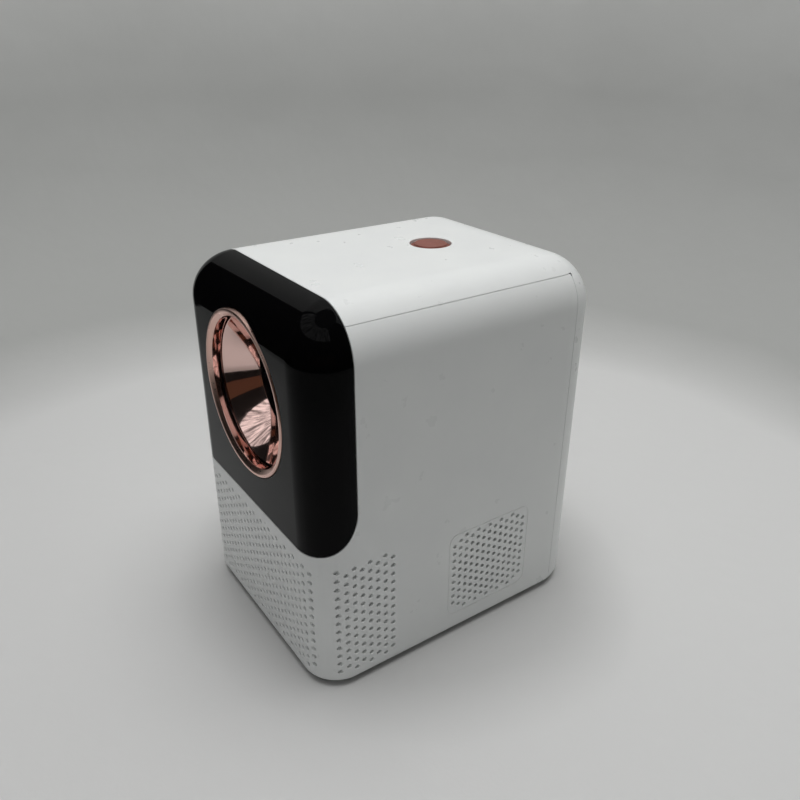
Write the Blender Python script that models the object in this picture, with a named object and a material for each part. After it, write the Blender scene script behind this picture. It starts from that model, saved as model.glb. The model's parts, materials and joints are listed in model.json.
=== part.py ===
"""Home projector: an upright case with a gloss front band, a deep lens cone and a folded light path inside.

Every length below is in millimetres, and finish() turns each mesh into metres. +Z is up and the lens looks
along -Y. The origin is the centre of the footprint, at the underside of the rubber feet. Each object is one
physical piece, placed by its location and parented to the empty of the group that it belongs to.
"""

import math

import bmesh
import bpy
from mathutils import Vector

MM = 0.001
GAP = 0.3  # clearance between neighbouring pieces

# Case
WIDTH = 118.0
FRONT = -75.0
REAR = 75.0
FOOT_HEIGHT = 2.0
TOP = 170.0
WALL = 2.5
FRONT_CORNER_R = 16.6
REAR_CORNER_R = 23.0
SIDE_TOP_R = 21.5
FRONT_TOP_R = 21.0
REAR_TOP_R = 24.0
BOTTOM_R = 3.5
CORNER_STEPS = 5
RIM = 6.0  # width of the lip round the bottom opening
RIM_TOP = 5.0
STAND = RIM_TOP + GAP  # the height that inner pieces stand at, on the rim and the base plate
BASE_LOW = FOOT_HEIGHT + 0.4
BASE_HIGH = RIM_TOP - 0.2
BOSS_R = 3.4
BOSS_WEB = 2.4
BOSS_TOP = 15.0
SCREW_PROFILE = [(0, 3.2), (0.9, 3.2), (1.1, 2.5), (2.6, 2.6), (2.6, 4.3), (1.1, 4.3), (1.1, 12), (0, 12.6)]
SCREW_HEAD_R = 2.6
PILOT_R = 1.4
FOOT_R = 6.0
FOOT_X = 40.0
FOOT_Y = 60.0
INSERT_Y = -20.0
INSERT_BORE_R = 2.7
INSERT_R = 5.0
INSERT_FLANGE_R = 8.0
SIDE = WIDTH / 2
INNER_SIDE = SIDE - WALL

# Seams
PANEL_DEPTH = 19.0  # how far the gloss band wraps back over the top and the sides
PANEL_LOW = 69.0
PANEL_CORNER_R = 19.0
TOP_SEAM = 163.2
REAR_SEAM = FRONT + 131.5

# Lens
AXIS_Z = 120.8
RING_R = 36.1
RING_INNER_R = 32.7
RING_PROUD = 0.5
FLANGE_R = 38.6
CONE_MOUTH_R = 31.9
CONE_THROAT_R = 24.6
CONE_START = 5.5
CONE_END = 20.0
BARREL_R = 27.0
BARREL_WALL = 2.0
BARREL_FRONT = -50.0
BARREL_REAR = -18.0
LENS_R = 24.7
GUIDE_R = 29.1  # the tube that the focus ring turns on
LIP_R = 30.2
SHOULDER_R = 31.0
MOUNT_FLANGE_R = 35.5

# Focus drive
GEAR_MODULE = 1.5
RING_TEETH = 43
WHEEL_TEETH = 17
GEAR_FRONT = -45.0
GEAR_REAR = -38.0
WHEEL_X = -GEAR_MODULE * (RING_TEETH + WHEEL_TEETH) / 2
WHEEL_PIN_R = 1.6
SLOT_GAP = 1.5
SLOT_HALF = 10.0

# Light path, from the lamp board up to the fold mirror
LIGHT_Y = 18.0
MIRROR_SUM = LIGHT_Y + AXIS_Z  # y + z is constant over the mirror's face
MIRROR_THICKNESS = 3.0
ENGINE_SIDE = 44.0
ENGINE_LOW = 82.0
ENGINE_FRONT = -20.0
ENGINE_REAR = 53.0
ENGINE_TOP = 154.0
LAMP_BOARD = (36.3, 37.9)
CONDENSER_LOW = 42.0
CONDENSER_R = 15.0
OPTICS_HALF = (42.0, 28.0)
PLATES = (  # name, lowest and highest height, paint
    ("collimating_fresnel", 67.0, 69.0, "clear"),
    ("heat_glass", 70.5, 71.6, "clear"),
    ("lcd_panel", 74.0, 76.2, "lcd"),
    ("field_fresnel", 78.5, 80.5, "clear"),
)

# Button
BUTTON_Y = 21.0
BUTTON_R = 9.1
BUTTON_COLLAR_R = 10.6
BUTTON_COLLAR = (165.6, 167.0)
STEM_R = 3.0
STEM_LOW = 162.6

# Port plate in the rear cover
PORT_SIDE = 33.0
PORT_LOW = 13.0
PORT_HIGH = 44.0
PORTS = {  # name: (x, z), half width, half height, start of the hollow, wall, paint
    "mains_inlet": ((-17.0, 21.5), 11.0, 7.0, 64.0, 2.0, "black"),
    "hdmi_socket": ((-19.0, 36.5), 7.9, 3.2, 64.0, 0.7, "steel"),
    "usb_socket": ((2.0, 36.5), 7.2, 3.6, 62.0, 0.7, "steel"),
    "av_jack": ((6.0, 21.5), 4.5, 4.5, 70.0, 3.0, "black"),
}
SOCKET_REAR = 74.6
TONGUE_REAR = 73.5
INLET_PIN_X = 4.3
INLET_PIN_R = 1.2

# Boards
BOARD_SIDE = 46.0
MAIN_BOARD_REAR = 59.6
POWER_BOARD_REAR = -42.4

# Loudspeakers
SPEAKER_X = 25.0
SPEAKER_Z = 34.0
SPEAKER_FRONT = -70.5

# Vents
FAN_Y = 14.0
FAN_Z = 34.5
REAR_FAN_Z = 118.0
REAR_VENT_R = 24.0
GRILLE_Z = 35.3
RETURN_Y = FRONT + 22.5
HOLE_R = 3.4

TURN = {"X": (0, math.pi / 2, 0), "Y": (-math.pi / 2, 0, 0), "Z": (0, 0, 0)}


# ---------------------------------------------------------------- helpers


def clear_scene():
    for obj in list(bpy.data.objects):
        bpy.data.objects.remove(obj, do_unlink=True)


def paint(name, colour, roughness, metallic=0.0):
    """A Principled material."""
    material = bpy.data.materials.new(name)
    material.use_nodes = True
    shader = material.node_tree.nodes["Principled BSDF"]
    shader.inputs["Base Color"].default_value = (*colour, 1)
    shader.inputs["Roughness"].default_value = roughness
    shader.inputs["Metallic"].default_value = metallic
    material.diffuse_color = (*colour, 1)
    return material


def group(name, at=(0, 0, 0)):
    """An empty that carries the pieces of one sub-assembly."""
    empty = bpy.data.objects.new(name, None)
    empty.empty_display_size = 10 * MM
    empty.location = Vector(at) * MM
    bpy.context.scene.collection.objects.link(empty)
    return empty


def finish(name, bm, material=None, at=(0, 0, 0), axis="Z", parent=None, sharp=30):
    """Turns a millimetre bmesh into an object, with its local Z along the given axis."""
    bmesh.ops.scale(bm, vec=(MM, MM, MM), verts=bm.verts)
    bmesh.ops.recalc_face_normals(bm, faces=bm.faces)
    mesh = bpy.data.meshes.new(name)
    bm.to_mesh(mesh)
    bm.free()
    mesh.shade_smooth()
    mesh.set_sharp_from_angle(angle=math.radians(sharp))
    obj = bpy.data.objects.new(name, mesh)
    if material:
        mesh.materials.append(material)
    obj.rotation_euler = TURN[axis]
    obj.location = Vector(at) * MM
    if parent:
        obj.parent = parent
        obj.location -= parent.location
    bpy.context.scene.collection.objects.link(obj)
    return obj


def helper(name, bm, at=(0, 0, 0), axis="Z"):
    """A hidden shape for a Boolean."""
    obj = finish(name, bm, at=at, axis=axis)
    obj.hide_render = True
    obj.display_type = "WIRE"
    return obj


def combine(obj, other, operation="DIFFERENCE"):
    modifier = obj.modifiers.new(other.name, "BOOLEAN")
    modifier.operation = operation
    modifier.object = other
    return obj


def box(low, high, bevel=0.0):
    """A box between two corners, with its edges cut back if bevel is set."""
    bm = bmesh.new()
    bmesh.ops.create_cube(bm, size=1)
    low, high = Vector(low), Vector(high)
    bmesh.ops.scale(bm, vec=high - low, verts=bm.verts)
    bmesh.ops.translate(bm, vec=(low + high) / 2, verts=bm.verts)
    if bevel:
        bmesh.ops.bevel(bm, geom=bm.edges, offset=bevel, segments=1, profile=0.5, affect="EDGES")
    return bm


def prism(outline, low, high):
    """An outline in the local XY plane, extruded along local Z."""
    bm = bmesh.new()
    face = bm.faces.new([bm.verts.new((x, y, low)) for x, y in outline])
    grown = bmesh.ops.extrude_face_region(bm, geom=[face])["geom"]
    moved = [v for v in grown if isinstance(v, bmesh.types.BMVert)]
    bmesh.ops.translate(bm, vec=(0, 0, high - low), verts=moved)
    return bm


def side_prism(outline, half_width):
    """An outline of (y, z) points, extruded along X on both sides of the middle plane."""
    bm = prism(outline, -half_width, half_width)
    for vert in bm.verts:
        y, z, x = vert.co
        vert.co = (x, y, z)
    return bm


def turned(profile, steps):
    """A closed solid of revolution about local Z from (radius, height) points. A profile that starts and
    ends on the axis is solid, and any other is a ring."""
    bm = bmesh.new()
    verts = [bm.verts.new((r, 0, h)) for r, h in profile]
    edges = [bm.edges.new(pair) for pair in zip(verts, verts[1:])]
    if profile[0][0] > 0:
        edges.append(bm.edges.new((verts[-1], verts[0])))
    about = {"axis": (0, 0, 1), "cent": (0, 0, 0), "angle": 2 * math.pi}
    bmesh.ops.spin(bm, geom=verts + edges, steps=steps, use_merge=True, **about)
    bmesh.ops.remove_doubles(bm, verts=bm.verts, dist=0.001)
    return bm


def rod(radius, low, high, steps=24):
    return turned([(0, low), (radius, low), (radius, high), (0, high)], steps)


def arc(centre, radius, start, end, steps):
    """Points on a circle, with angles in degrees."""
    points = []
    for i in range(steps + 1):
        angle = math.radians(start + (end - start) * i / steps)
        points.append((centre[0] + radius * math.cos(angle), centre[1] + radius * math.sin(angle)))
    return points


def rounded_rectangle(half_x, half_y, radius, steps=4):
    points = []
    for sx, sy, start in ((1, 1, 0), (-1, 1, 90), (-1, -1, 180), (1, -1, 270)):
        corner = (sx * (half_x - radius), sy * (half_y - radius))
        points += arc(corner, radius, start, start + 90, steps)
    return points


def staggered(columns, rows, step_x, step_y):
    """Places of a grid whose odd columns are shifted by half a step and are one place shorter."""
    for i in range(columns):
        shift = i % 2
        for j in range(rows - shift):
            yield (i - (columns - 1) / 2) * step_x, (j + shift / 2 - (rows - 1) / 2) * step_y


def extrude_into(bm, outline, low, high):
    """Adds one closed prism along local Z to a mesh that may hold others."""
    lower = [bm.verts.new((*point, low)) for point in outline]
    upper = [bm.verts.new((*point, high)) for point in outline]
    bm.faces.new(lower[::-1])
    bm.faces.new(upper)
    for i in range(len(outline)):
        j = (i + 1) % len(outline)
        bm.faces.new((lower[i], lower[j], upper[j], upper[i]))


def close_loops(bm, loops):
    """Skins a stack of equal loops and caps both ends."""
    for lower, upper in zip(loops, loops[1:]):
        for i in range(len(lower)):
            j = (i + 1) % len(lower)
            bm.faces.new((lower[i], lower[j], upper[j], upper[i]))
    bm.faces.new(loops[0][::-1])
    bm.faces.new(loops[-1])


def hex_holes(places, radius, low, high):
    """Hexagonal cutters along local Z, one at each place."""
    bm = bmesh.new()
    for place in places:
        extrude_into(bm, arc(place, radius, 30, 330, 5), low, high)
    return bm


def gear_outline(teeth):
    """Trapezoid teeth, with one tooth centred on local +X."""
    tip = GEAR_MODULE * (teeth / 2 + 0.8)
    root = GEAR_MODULE * (teeth / 2 - 1.1)
    pitch = 2 * math.pi / teeth
    points = []
    for tooth in range(teeth):
        for share, radius in ((-0.275, root), (-0.1, tip), (0.1, tip), (0.275, root)):
            angle = (tooth + share) * pitch
            points.append((radius * math.cos(angle), radius * math.sin(angle)))
    return points


# ---------------------------------------------------------------- case


def case_ring(bm, inset, corner_scale, lift_share, level=None):
    """One closed loop of the case's surface. corner_scale shrinks the plan radii towards the top face, and
    lift_share says how far up the top rounding the loop lies. level puts the whole loop at one height."""
    verts = []
    for sx, sy in ((1, -1), (1, 1), (-1, 1), (-1, -1)):
        end_r = (FRONT_TOP_R if sy < 0 else REAR_TOP_R) - inset
        side_r = SIDE_TOP_R - inset
        plan_r = (FRONT_CORNER_R if sy < 0 else REAR_CORNER_R) - inset
        pull = 1 - corner_scale
        turning = range(CORNER_STEPS + 1)
        for i in turning if sx * sy < 0 else reversed(turning):
            angle = math.radians(90 * i / CORNER_STEPS)  # 0 on the end face, 90 degrees on the side face
            radius = plan_r * corner_scale
            x = SIDE - inset - side_r * pull - radius * (1 - math.sin(angle))
            y = REAR - inset - end_r * pull - radius * (1 - math.cos(angle))
            share = i / CORNER_STEPS
            drop = (end_r * (1 - share) + side_r * share) * (1 - lift_share)
            z = TOP - inset - drop if level is None else level
            verts.append(bm.verts.new((sx * x, sy * y, z)))
    return verts


def bottom_ring(bm, inset, extra, level):
    """A loop near the case's bottom edge, pulled in by extra."""
    verts = []
    for sx, sy in ((1, -1), (1, 1), (-1, 1), (-1, -1)):
        radius = (FRONT_CORNER_R if sy < 0 else REAR_CORNER_R) - inset - extra
        turning = range(CORNER_STEPS + 1)
        for i in turning if sx * sy < 0 else reversed(turning):
            angle = math.radians(90 * i / CORNER_STEPS)
            x = SIDE - inset - extra - radius * (1 - math.sin(angle))
            y = REAR - inset - extra - radius * (1 - math.cos(angle))
            verts.append(bm.verts.new((sx * x, sy * y, level)))
    return verts


def case_block(inset, floor):
    """The case's outer form moved inwards by inset, down to the height floor."""
    bm = bmesh.new()
    loops = []
    if inset:
        loops.append(bottom_ring(bm, inset, 0, floor))
    else:
        for angle in (0, 45, 90):
            lean = math.radians(angle)
            extra = BOTTOM_R * (1 - math.sin(lean))
            loops.append(bottom_ring(bm, 0, extra, floor + BOTTOM_R * (1 - math.cos(lean))))
    for step in range(7):
        lean = math.radians(90 * step / 6)
        loops.append(case_ring(bm, inset, math.cos(lean), math.sin(lean)))
    close_loops(bm, loops)
    bmesh.ops.remove_doubles(bm, verts=bm.verts, dist=0.001)
    return bm


def panel_zone(grow):
    """The gloss band's zone in side view: the front of the case, down to a round lower rear corner."""
    rear = FRONT + PANEL_DEPTH + grow
    corner = arc((FRONT, PANEL_LOW + PANEL_CORNER_R), PANEL_CORNER_R + grow, -90, 0, 8)
    return [(FRONT - 10, PANEL_LOW - grow), *corner, (rear, TOP + 10), (FRONT - 10, TOP + 10)]


def cover_zone(grow):
    """The top and rear cover's zone in side view, an L turned over."""
    seam = TOP_SEAM - grow
    rear_seam = REAR_SEAM - grow
    beyond = REAR + 5
    above = TOP + 5
    return [(FRONT, seam), (rear_seam, seam), (rear_seam, -5), (beyond, -5), (beyond, above), (FRONT, above)]


def footprint(inset, low, high):
    """A slab with the case's plan outline, pulled in by inset."""
    bm = bmesh.new()
    close_loops(bm, [bottom_ring(bm, 0, inset, level) for level in (low, high)])
    return bm


def shared_cutters():
    return {
        "cavity": helper("cavity_cut", case_block(WALL, RIM_TOP)),
        "opening": helper("opening_cut", footprint(RIM, -5, RIM_TOP + 1)),
        "panel": helper("panel_zone", side_prism(panel_zone(0), SIDE + 10)),
        "panel_grown": helper("panel_zone_grown", side_prism(panel_zone(GAP), SIDE + 10)),
        "cover": helper("cover_zone", side_prism(cover_zone(0), SIDE + 10)),
        "cover_grown": helper("cover_zone_grown", side_prism(cover_zone(GAP), SIDE + 10)),
    }


def make_front_panel(cutters, paints, parent):
    panel = finish("front_panel", case_block(0, FOOT_HEIGHT), paints["gloss"], parent=parent)
    combine(panel, cutters["cavity"])
    combine(panel, cutters["panel"], "INTERSECT")
    hole = helper("ring_cut", rod(RING_R + GAP, -10, 12, 36), (0, FRONT, AXIS_Z), "Y")
    combine(panel, hole)


def make_body_shell(cutters, paints, parent):
    shell = finish("body_shell", case_block(0, FOOT_HEIGHT), paints["white"], parent=parent)
    for name in ("cavity", "opening", "panel_grown", "cover_grown"):
        combine(shell, cutters[name])
    cut_vents(shell)
    slot_low = (-SIDE - 5, GEAR_FRONT - SLOT_GAP, AXIS_Z - SLOT_HALF)
    slot_high = (-INNER_SIDE + 1, GEAR_REAR + SLOT_GAP, AXIS_Z + SLOT_HALF)
    combine(shell, helper("wheel_slot_cut", box(slot_low, slot_high)))
    combine(shell, helper("bosses", screw_bosses()), "UNION")
    combine(shell, helper("boss_holes", boss_holes()))


def cut_vents(shell):
    """Simplified perforations: the speaker grille, its two side returns and the two fan vents."""
    grille = hex_holes(staggered(9, 5, 10.0, 11.0), HOLE_R, -6, 6)
    combine(shell, helper("grille_cut", grille, (0, FRONT, GRILLE_Z), "Y"))
    side_return = hex_holes(staggered(5, 3, 11.0, 10.0), HOLE_R, -6, 6)
    fan_vent = hex_holes(staggered(5, 5, 8.8, 9.4), HOLE_R, -6, 6)
    for sign, side in ((1, "right"), (-1, "left")):
        return_at = (sign * SIDE, RETURN_Y, GRILLE_Z)
        fan_at = (sign * SIDE, FAN_Y, FAN_Z)
        combine(shell, helper(f"return_cut_{side}", side_return.copy(), return_at, "X"))
        combine(shell, helper(f"fan_vent_cut_{side}", fan_vent.copy(), fan_at, "X"))
    side_return.free()
    fan_vent.free()


def boss_places():
    return [(x, y) for y in (-52.0, 46.0) for x in (-48.8, 48.8)]


def screw_bosses():
    """The four bosses that the base screws bite into, each with a web that joins it to the side wall."""
    bm = bmesh.new()
    web_angle = math.degrees(math.asin(BOSS_WEB / 2 / BOSS_R))
    for x, y in boss_places():
        sign = math.copysign(1, x)
        outline = arc((0, 0), BOSS_R, web_angle, 360 - web_angle, 12)
        reach = INNER_SIDE - abs(x) + 1
        outline += [(reach, -BOSS_WEB / 2), (reach, BOSS_WEB / 2)]
        outline = [(x + sign * px, y + py) for px, py in outline]
        extrude_into(bm, outline, RIM_TOP + 0.1, BOSS_TOP)
    return bm


def boss_holes():
    bm = bmesh.new()
    for x, y in boss_places():
        extrude_into(bm, arc((x, y), PILOT_R, 0, 330, 11), RIM_TOP - 1, BOSS_TOP - 2)
    return bm


def make_top_rear_cover(cutters, paints, parent):
    cover = finish("top_rear_cover", case_block(0, FOOT_HEIGHT), paints["white"], parent=parent)
    combine(cover, cutters["cover"], "INTERSECT")
    for name in ("cavity", "opening", "panel_grown"):
        combine(cover, cutters[name])
    combine(cover, helper("button_cut", rod(BUTTON_R + GAP, TOP - 8, TOP + 5, 24), (0, BUTTON_Y, 0)))
    window_low = (-PORT_SIDE - GAP, REAR - 5, PORT_LOW - GAP)
    window_high = (PORT_SIDE + GAP, REAR + 5, PORT_HIGH + GAP)
    combine(cover, helper("port_window_cut", box(window_low, window_high)))
    places = [place for place in staggered(5, 5, 9.4, 9.6) if math.hypot(*place) < REAR_VENT_R]
    combine(cover, helper("rear_vent_cut", hex_holes(places, HOLE_R, -6, 6), (0, REAR, REAR_FAN_Z), "Y"))


def make_base(paints, parent):
    """The base plate that closes the bottom opening, with its screws, feet and threaded insert."""
    slab = footprint(RIM + GAP, BASE_LOW, BASE_HIGH)
    plate = finish("base_plate", slab, paints["charcoal"], parent=parent)
    insert_at = (0, INSERT_Y, 0)
    combine(plate, helper("insert_cut", rod(INSERT_R + GAP, 0, 8, 16), insert_at))
    for i, (x, y) in enumerate(boss_places()):
        combine(plate, helper(f"screw_cut_{i + 1}", rod(SCREW_HEAD_R + GAP, 0, 8, 12), (x, y, 0)))
        screw = turned(SCREW_PROFILE, 10)
        finish(f"base_screw_{i + 1}", screw, paints["steel"], (x, y, 0), parent=parent)
    foot_top = BASE_LOW - GAP
    foot_profile = [(0, 0), (FOOT_R - 0.6, 0), (FOOT_R, 0.5), (FOOT_R, foot_top), (0, foot_top)]
    for y, end in ((-FOOT_Y, "front"), (FOOT_Y, "rear")):
        for x, side in ((-FOOT_X, "left"), (FOOT_X, "right")):
            foot = turned(foot_profile, 20)
            finish(f"foot_{end}_{side}", foot, paints["rubber"], (x, y, 0), parent=parent)
    shoulder = BASE_HIGH + GAP
    insert = [
        (INSERT_BORE_R, BASE_LOW),
        (INSERT_R, BASE_LOW),
        (INSERT_R, shoulder),
        (INSERT_FLANGE_R, shoulder),
        (INSERT_FLANGE_R, shoulder + 1.4),
        (INSERT_BORE_R, shoulder + 1.4),
    ]
    finish("tripod_insert", turned(insert, 16), paints["brass"], insert_at, parent=parent)


# ---------------------------------------------------------------- lens


def make_lens_trim(paints, parent):
    """The satin bezel ring and the mirror-finish cone behind it. Heights run back from the front face."""
    ring = [
        (RING_INNER_R, 1.0),
        (RING_R - 1.4, -RING_PROUD),
        (RING_R - 0.4, -RING_PROUD),
        (RING_R, -0.1),
        (RING_R, 6.3),
        (FLANGE_R, 6.3),
        (FLANGE_R, 7.5),
        (RING_INNER_R, 7.5),
    ]
    cone = [
        (CONE_MOUTH_R, CONE_START),
        (CONE_THROAT_R, CONE_END),
        (CONE_THROAT_R + 1.3, CONE_END),
        (30.8, 9.3),
        (FLANGE_R, 9.3),
        (FLANGE_R, 7.8),
        (CONE_MOUTH_R + 0.3, 7.8),
        (CONE_MOUTH_R + 0.3, CONE_START),
    ]
    finish("lens_ring", turned(ring, 36), paints["rose"], (0, FRONT, AXIS_Z), "Y", parent)
    finish("lens_cone", turned(cone, 36), paints["rose_mirror"], (0, FRONT, AXIS_Z), "Y", parent)


def lens_profile(front, rear, front_sag, rear_sag, radius=LENS_R):
    """A lens section: two spherical faces and a cylindrical edge. Heights are along the axis."""
    shares = (0, 0.4, 0.7, 1)
    points = [(radius * share, front + front_sag * share**2) for share in shares]
    points += [(radius * share, rear - rear_sag * share**2) for share in reversed(shares)]
    return points


def make_lens_barrel(paints, parent):
    """The sliding barrel with its two lens groups."""
    inner = BARREL_R - BARREL_WALL
    barrel = [(inner, BARREL_FRONT), (BARREL_R, BARREL_FRONT), (BARREL_R, BARREL_REAR), (inner, BARREL_REAR)]
    at = (0, 0, AXIS_Z)
    finish("lens_barrel", turned(barrel, 32), paints["black"], at, "Y", parent)
    front = lens_profile(-49.0, -41.0, 3.5, 2.5)
    finish("front_lens", turned(front, 28), paints["glass"], at, "Y", parent)
    rear = lens_profile(-30.0, -20.0, 3.0, 4.0)
    finish("rear_lens", turned(rear, 28), paints["glass"], at, "Y", parent)


def make_lens_mount(paints, parent):
    """The fixed tube that guides the barrel, with a shoulder and a lip that keep the focus ring in place."""
    bore = BARREL_R + 0.4
    mount = [
        (bore, -48.5),
        (LIP_R, GEAR_FRONT - 1.6),
        (LIP_R, GEAR_FRONT - 0.4),
        (GUIDE_R, GEAR_FRONT - 0.4),
        (GUIDE_R, GEAR_REAR + GAP),
        (SHOULDER_R, GEAR_REAR + GAP),
        (SHOULDER_R, GEAR_REAR + 2.5),
        (GUIDE_R, GEAR_REAR + 2.5),
        (GUIDE_R, ENGINE_FRONT - 2.5),
        (MOUNT_FLANGE_R, ENGINE_FRONT - 2.5),
        (MOUNT_FLANGE_R, ENGINE_FRONT - GAP),
        (bore, ENGINE_FRONT - GAP),
    ]
    finish("lens_mount", turned(mount, 32), paints["black"], (0, 0, AXIS_Z), "Y", parent)


def make_focus_drive(paints, ring_parent, wheel_parent, fixed_parent):
    """The toothed focus ring and the thumb wheel that reaches through the left side."""
    past_front = GEAR_FRONT - 2
    past_rear = GEAR_REAR + 2
    at = (0, 0, AXIS_Z)
    ring = prism(gear_outline(RING_TEETH), GEAR_FRONT, GEAR_REAR)
    ring = finish("focus_ring", ring, paints["grey"], at, "Y", ring_parent)
    combine(ring, helper("focus_ring_bore", rod(GUIDE_R + GAP, past_front, past_rear, 32), at, "Y"))
    at = (WHEEL_X, 0, AXIS_Z)
    wheel = prism(gear_outline(WHEEL_TEETH), GEAR_FRONT, GEAR_REAR)
    wheel = finish("focus_wheel", wheel, paints["grey"], at, "Y", wheel_parent)
    combine(wheel, helper("focus_wheel_bore", rod(WHEEL_PIN_R + GAP, past_front, past_rear, 16), at, "Y"))
    arm_low = (WHEEL_X - 4, past_rear, AXIS_Z - 4)
    arm_high = (WHEEL_X + 8, ENGINE_FRONT - GAP, AXIS_Z + 4)
    bracket = finish("focus_wheel_bracket", box(arm_low, arm_high, 0.8), paints["black"], parent=fixed_parent)
    pin = helper("focus_wheel_pin", rod(WHEEL_PIN_R, GEAR_FRONT - 2.5, GEAR_REAR + 8, 16), at, "Y")
    combine(bracket, pin, "UNION")


# ---------------------------------------------------------------- light engine


def make_light_engine(paints, parent):
    make_engine_housing(paints, parent)
    make_mirror(paints, parent)
    make_lamp(paints, parent)
    make_light_cone(paints, parent)
    make_optics_stack(paints, parent)


def make_engine_housing(paints, parent):
    """A wedge-shaped dark box: open below towards the display panel, with a round opening to the lens."""
    wall = 2.0
    slope = MIRROR_SUM + (MIRROR_THICKNESS + GAP + wall) * math.sqrt(2)

    def outline(inset, low):
        """The housing's side view, moved inwards by inset. The sloping side has y + z constant."""
        front = ENGINE_FRONT + inset
        rear = ENGINE_REAR - inset
        top = ENGINE_TOP - inset
        lean = slope - inset * math.sqrt(2)
        return [(front, low), (rear, low), (rear, lean - rear), (lean - top, top), (front, top)]

    outer = outline(0, ENGINE_LOW)
    inner = outline(wall, ENGINE_LOW - 5)
    housing = finish("engine_housing", side_prism(outer, ENGINE_SIDE), paints["black"], parent=parent)
    combine(housing, helper("engine_cavity_cut", side_prism(inner, ENGINE_SIDE - wall)))
    lens_hole = rod(BARREL_R + 0.6, ENGINE_FRONT - 3, ENGINE_FRONT + 5, 32)
    combine(housing, helper("engine_lens_cut", lens_hole, (0, 0, AXIS_Z), "Y"))


def make_mirror(paints, parent):
    """The fold mirror, a flat plate at 45 degrees that turns the light from up to forwards."""
    plate = box((-41, -38, 0), (41, 38, MIRROR_THICKNESS))
    mirror = finish("fold_mirror", plate, paints["mirror"], parent=parent)
    slide = 2.0  # down its own slope, towards the rear
    mirror.rotation_euler = (math.radians(-45), 0, 0)
    mirror.location = Vector((0, LIGHT_Y + slide, AXIS_Z - slide)) * MM


def heat_sink_outline(half_width, base, height, fins, fin_width):
    """A comb: a flat base with fins that hang down from it."""
    pitch = (2 * half_width - fin_width) / (fins - 1)
    points = [(half_width, height), (-half_width, height)]
    for i in range(fins):
        left = -half_width + i * pitch
        points += [(left, 0), (left + fin_width, 0)]
        if i < fins - 1:
            points += [(left + fin_width, height - base), (left + pitch, height - base)]
    return points


def make_lamp(paints, parent):
    """The finned sink, the lamp board with its light-emitting chip, and the condenser lens over it."""
    at = (0, LIGHT_Y, 0)
    board_low, board_high = LAMP_BOARD
    comb = heat_sink_outline(29, 4, board_low - GAP - STAND, 13, 1.4)
    bm = prism(comb, -36, 42)
    for vert in bm.verts:
        y, z, x = vert.co
        vert.co = (x, y, z + STAND)
    finish("heat_sink", bm, paints["aluminium"], at, parent=parent)
    board = box((-20, -19, board_low), (20, 19, board_high))
    finish("lamp_board", board, paints["aluminium"], at, parent=parent)
    chip = box((-9, -9, board_high + GAP), (9, 9, board_high + GAP + 1), 0.3)
    finish("lamp_chip", chip, paints["phosphor"], at, parent=parent)
    dome = CONDENSER_LOW + 1.5
    crown = 9.0
    condenser = [(0, CONDENSER_LOW), (CONDENSER_R, CONDENSER_LOW), (CONDENSER_R, dome)]
    for angle in (20, 42, 66):
        lean = math.radians(angle)
        condenser.append((CONDENSER_R * math.cos(lean), dome + crown * math.sin(lean)))
    condenser.append((0, dome + crown))
    finish("condenser_lens", turned(condenser, 24), paints["glass"], at, parent=parent)


def make_light_cone(paints, parent):
    """A square reflector that widens from the lamp to the display panel."""
    low, high, wall = 40.0, 66.0, 1.5
    sizes = ((17 + wall, 17 + wall, low), (41 + wall, 27 + wall, high), (41, 27, high), (17, 17, low))
    bm = bmesh.new()
    loops = []
    for half_x, half_y, z in sizes:
        corners = ((half_x, half_y), (-half_x, half_y), (-half_x, -half_y), (half_x, -half_y))
        loops.append([bm.verts.new((x, y, z)) for x, y in corners])
    for a, b in zip(loops, loops[1:] + loops[:1]):
        for i in range(4):
            j = (i + 1) % 4
            bm.faces.new((a[i], a[j], b[j], b[i]))
    finish("light_cone", bm, paints["chrome"], (0, LIGHT_Y, 0), parent=parent)


def make_optics_stack(paints, parent):
    """The frame that holds the flat optics over one another, and the flat optics."""
    at = (0, LIGHT_Y, 0)
    half_x, half_y = OPTICS_HALF
    frame = box((-half_x - 2, -half_y - 2, 66.3), (half_x + 2, half_y + 2, ENGINE_LOW - GAP))
    frame = finish("optics_frame", frame, paints["black"], at, parent=parent)
    inside = box((-half_x - GAP, -half_y - GAP, 60), (half_x + GAP, half_y + GAP, 90))
    combine(frame, helper("optics_frame_cut", inside, at))
    for name, low, high, paint_name in PLATES:
        plate = box((-half_x, -half_y, low), (half_x, half_y, high))
        finish(name, plate, paints[paint_name], at, parent=parent)


# ---------------------------------------------------------------- cooling


def make_fan(name, half, rotor_r, at, axis, paints, parent, rotor_parent):
    """A square axial fan. Its local Z is the spindle, and the motor holder is at its low end."""
    depth = 10.0
    frame = prism(rounded_rectangle(half, half, 3, 2), 0, depth)
    frame = finish(f"{name}_frame", frame, paints["black"], at, axis, parent)
    combine(frame, helper(f"{name}_bore", rod(rotor_r + 0.7, 1.6, depth + 1, 20), at, axis))
    windows = bmesh.new()
    for quarter in range(4):
        outline = arc((0, 0), rotor_r + 0.2, quarter * 90 + 7, quarter * 90 + 83, 4)
        outline += arc((0, 0), 8.5, quarter * 90 + 74, quarter * 90 + 16, 2)
        extrude_into(windows, outline, -1, 2.5)
    combine(frame, helper(f"{name}_windows", windows, at, axis))
    rotor = fan_rotor(7.8, rotor_r, 2.8, depth - 0.8)
    finish(f"{name}_rotor", rotor, paints["black"], at, axis, rotor_parent)


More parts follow.
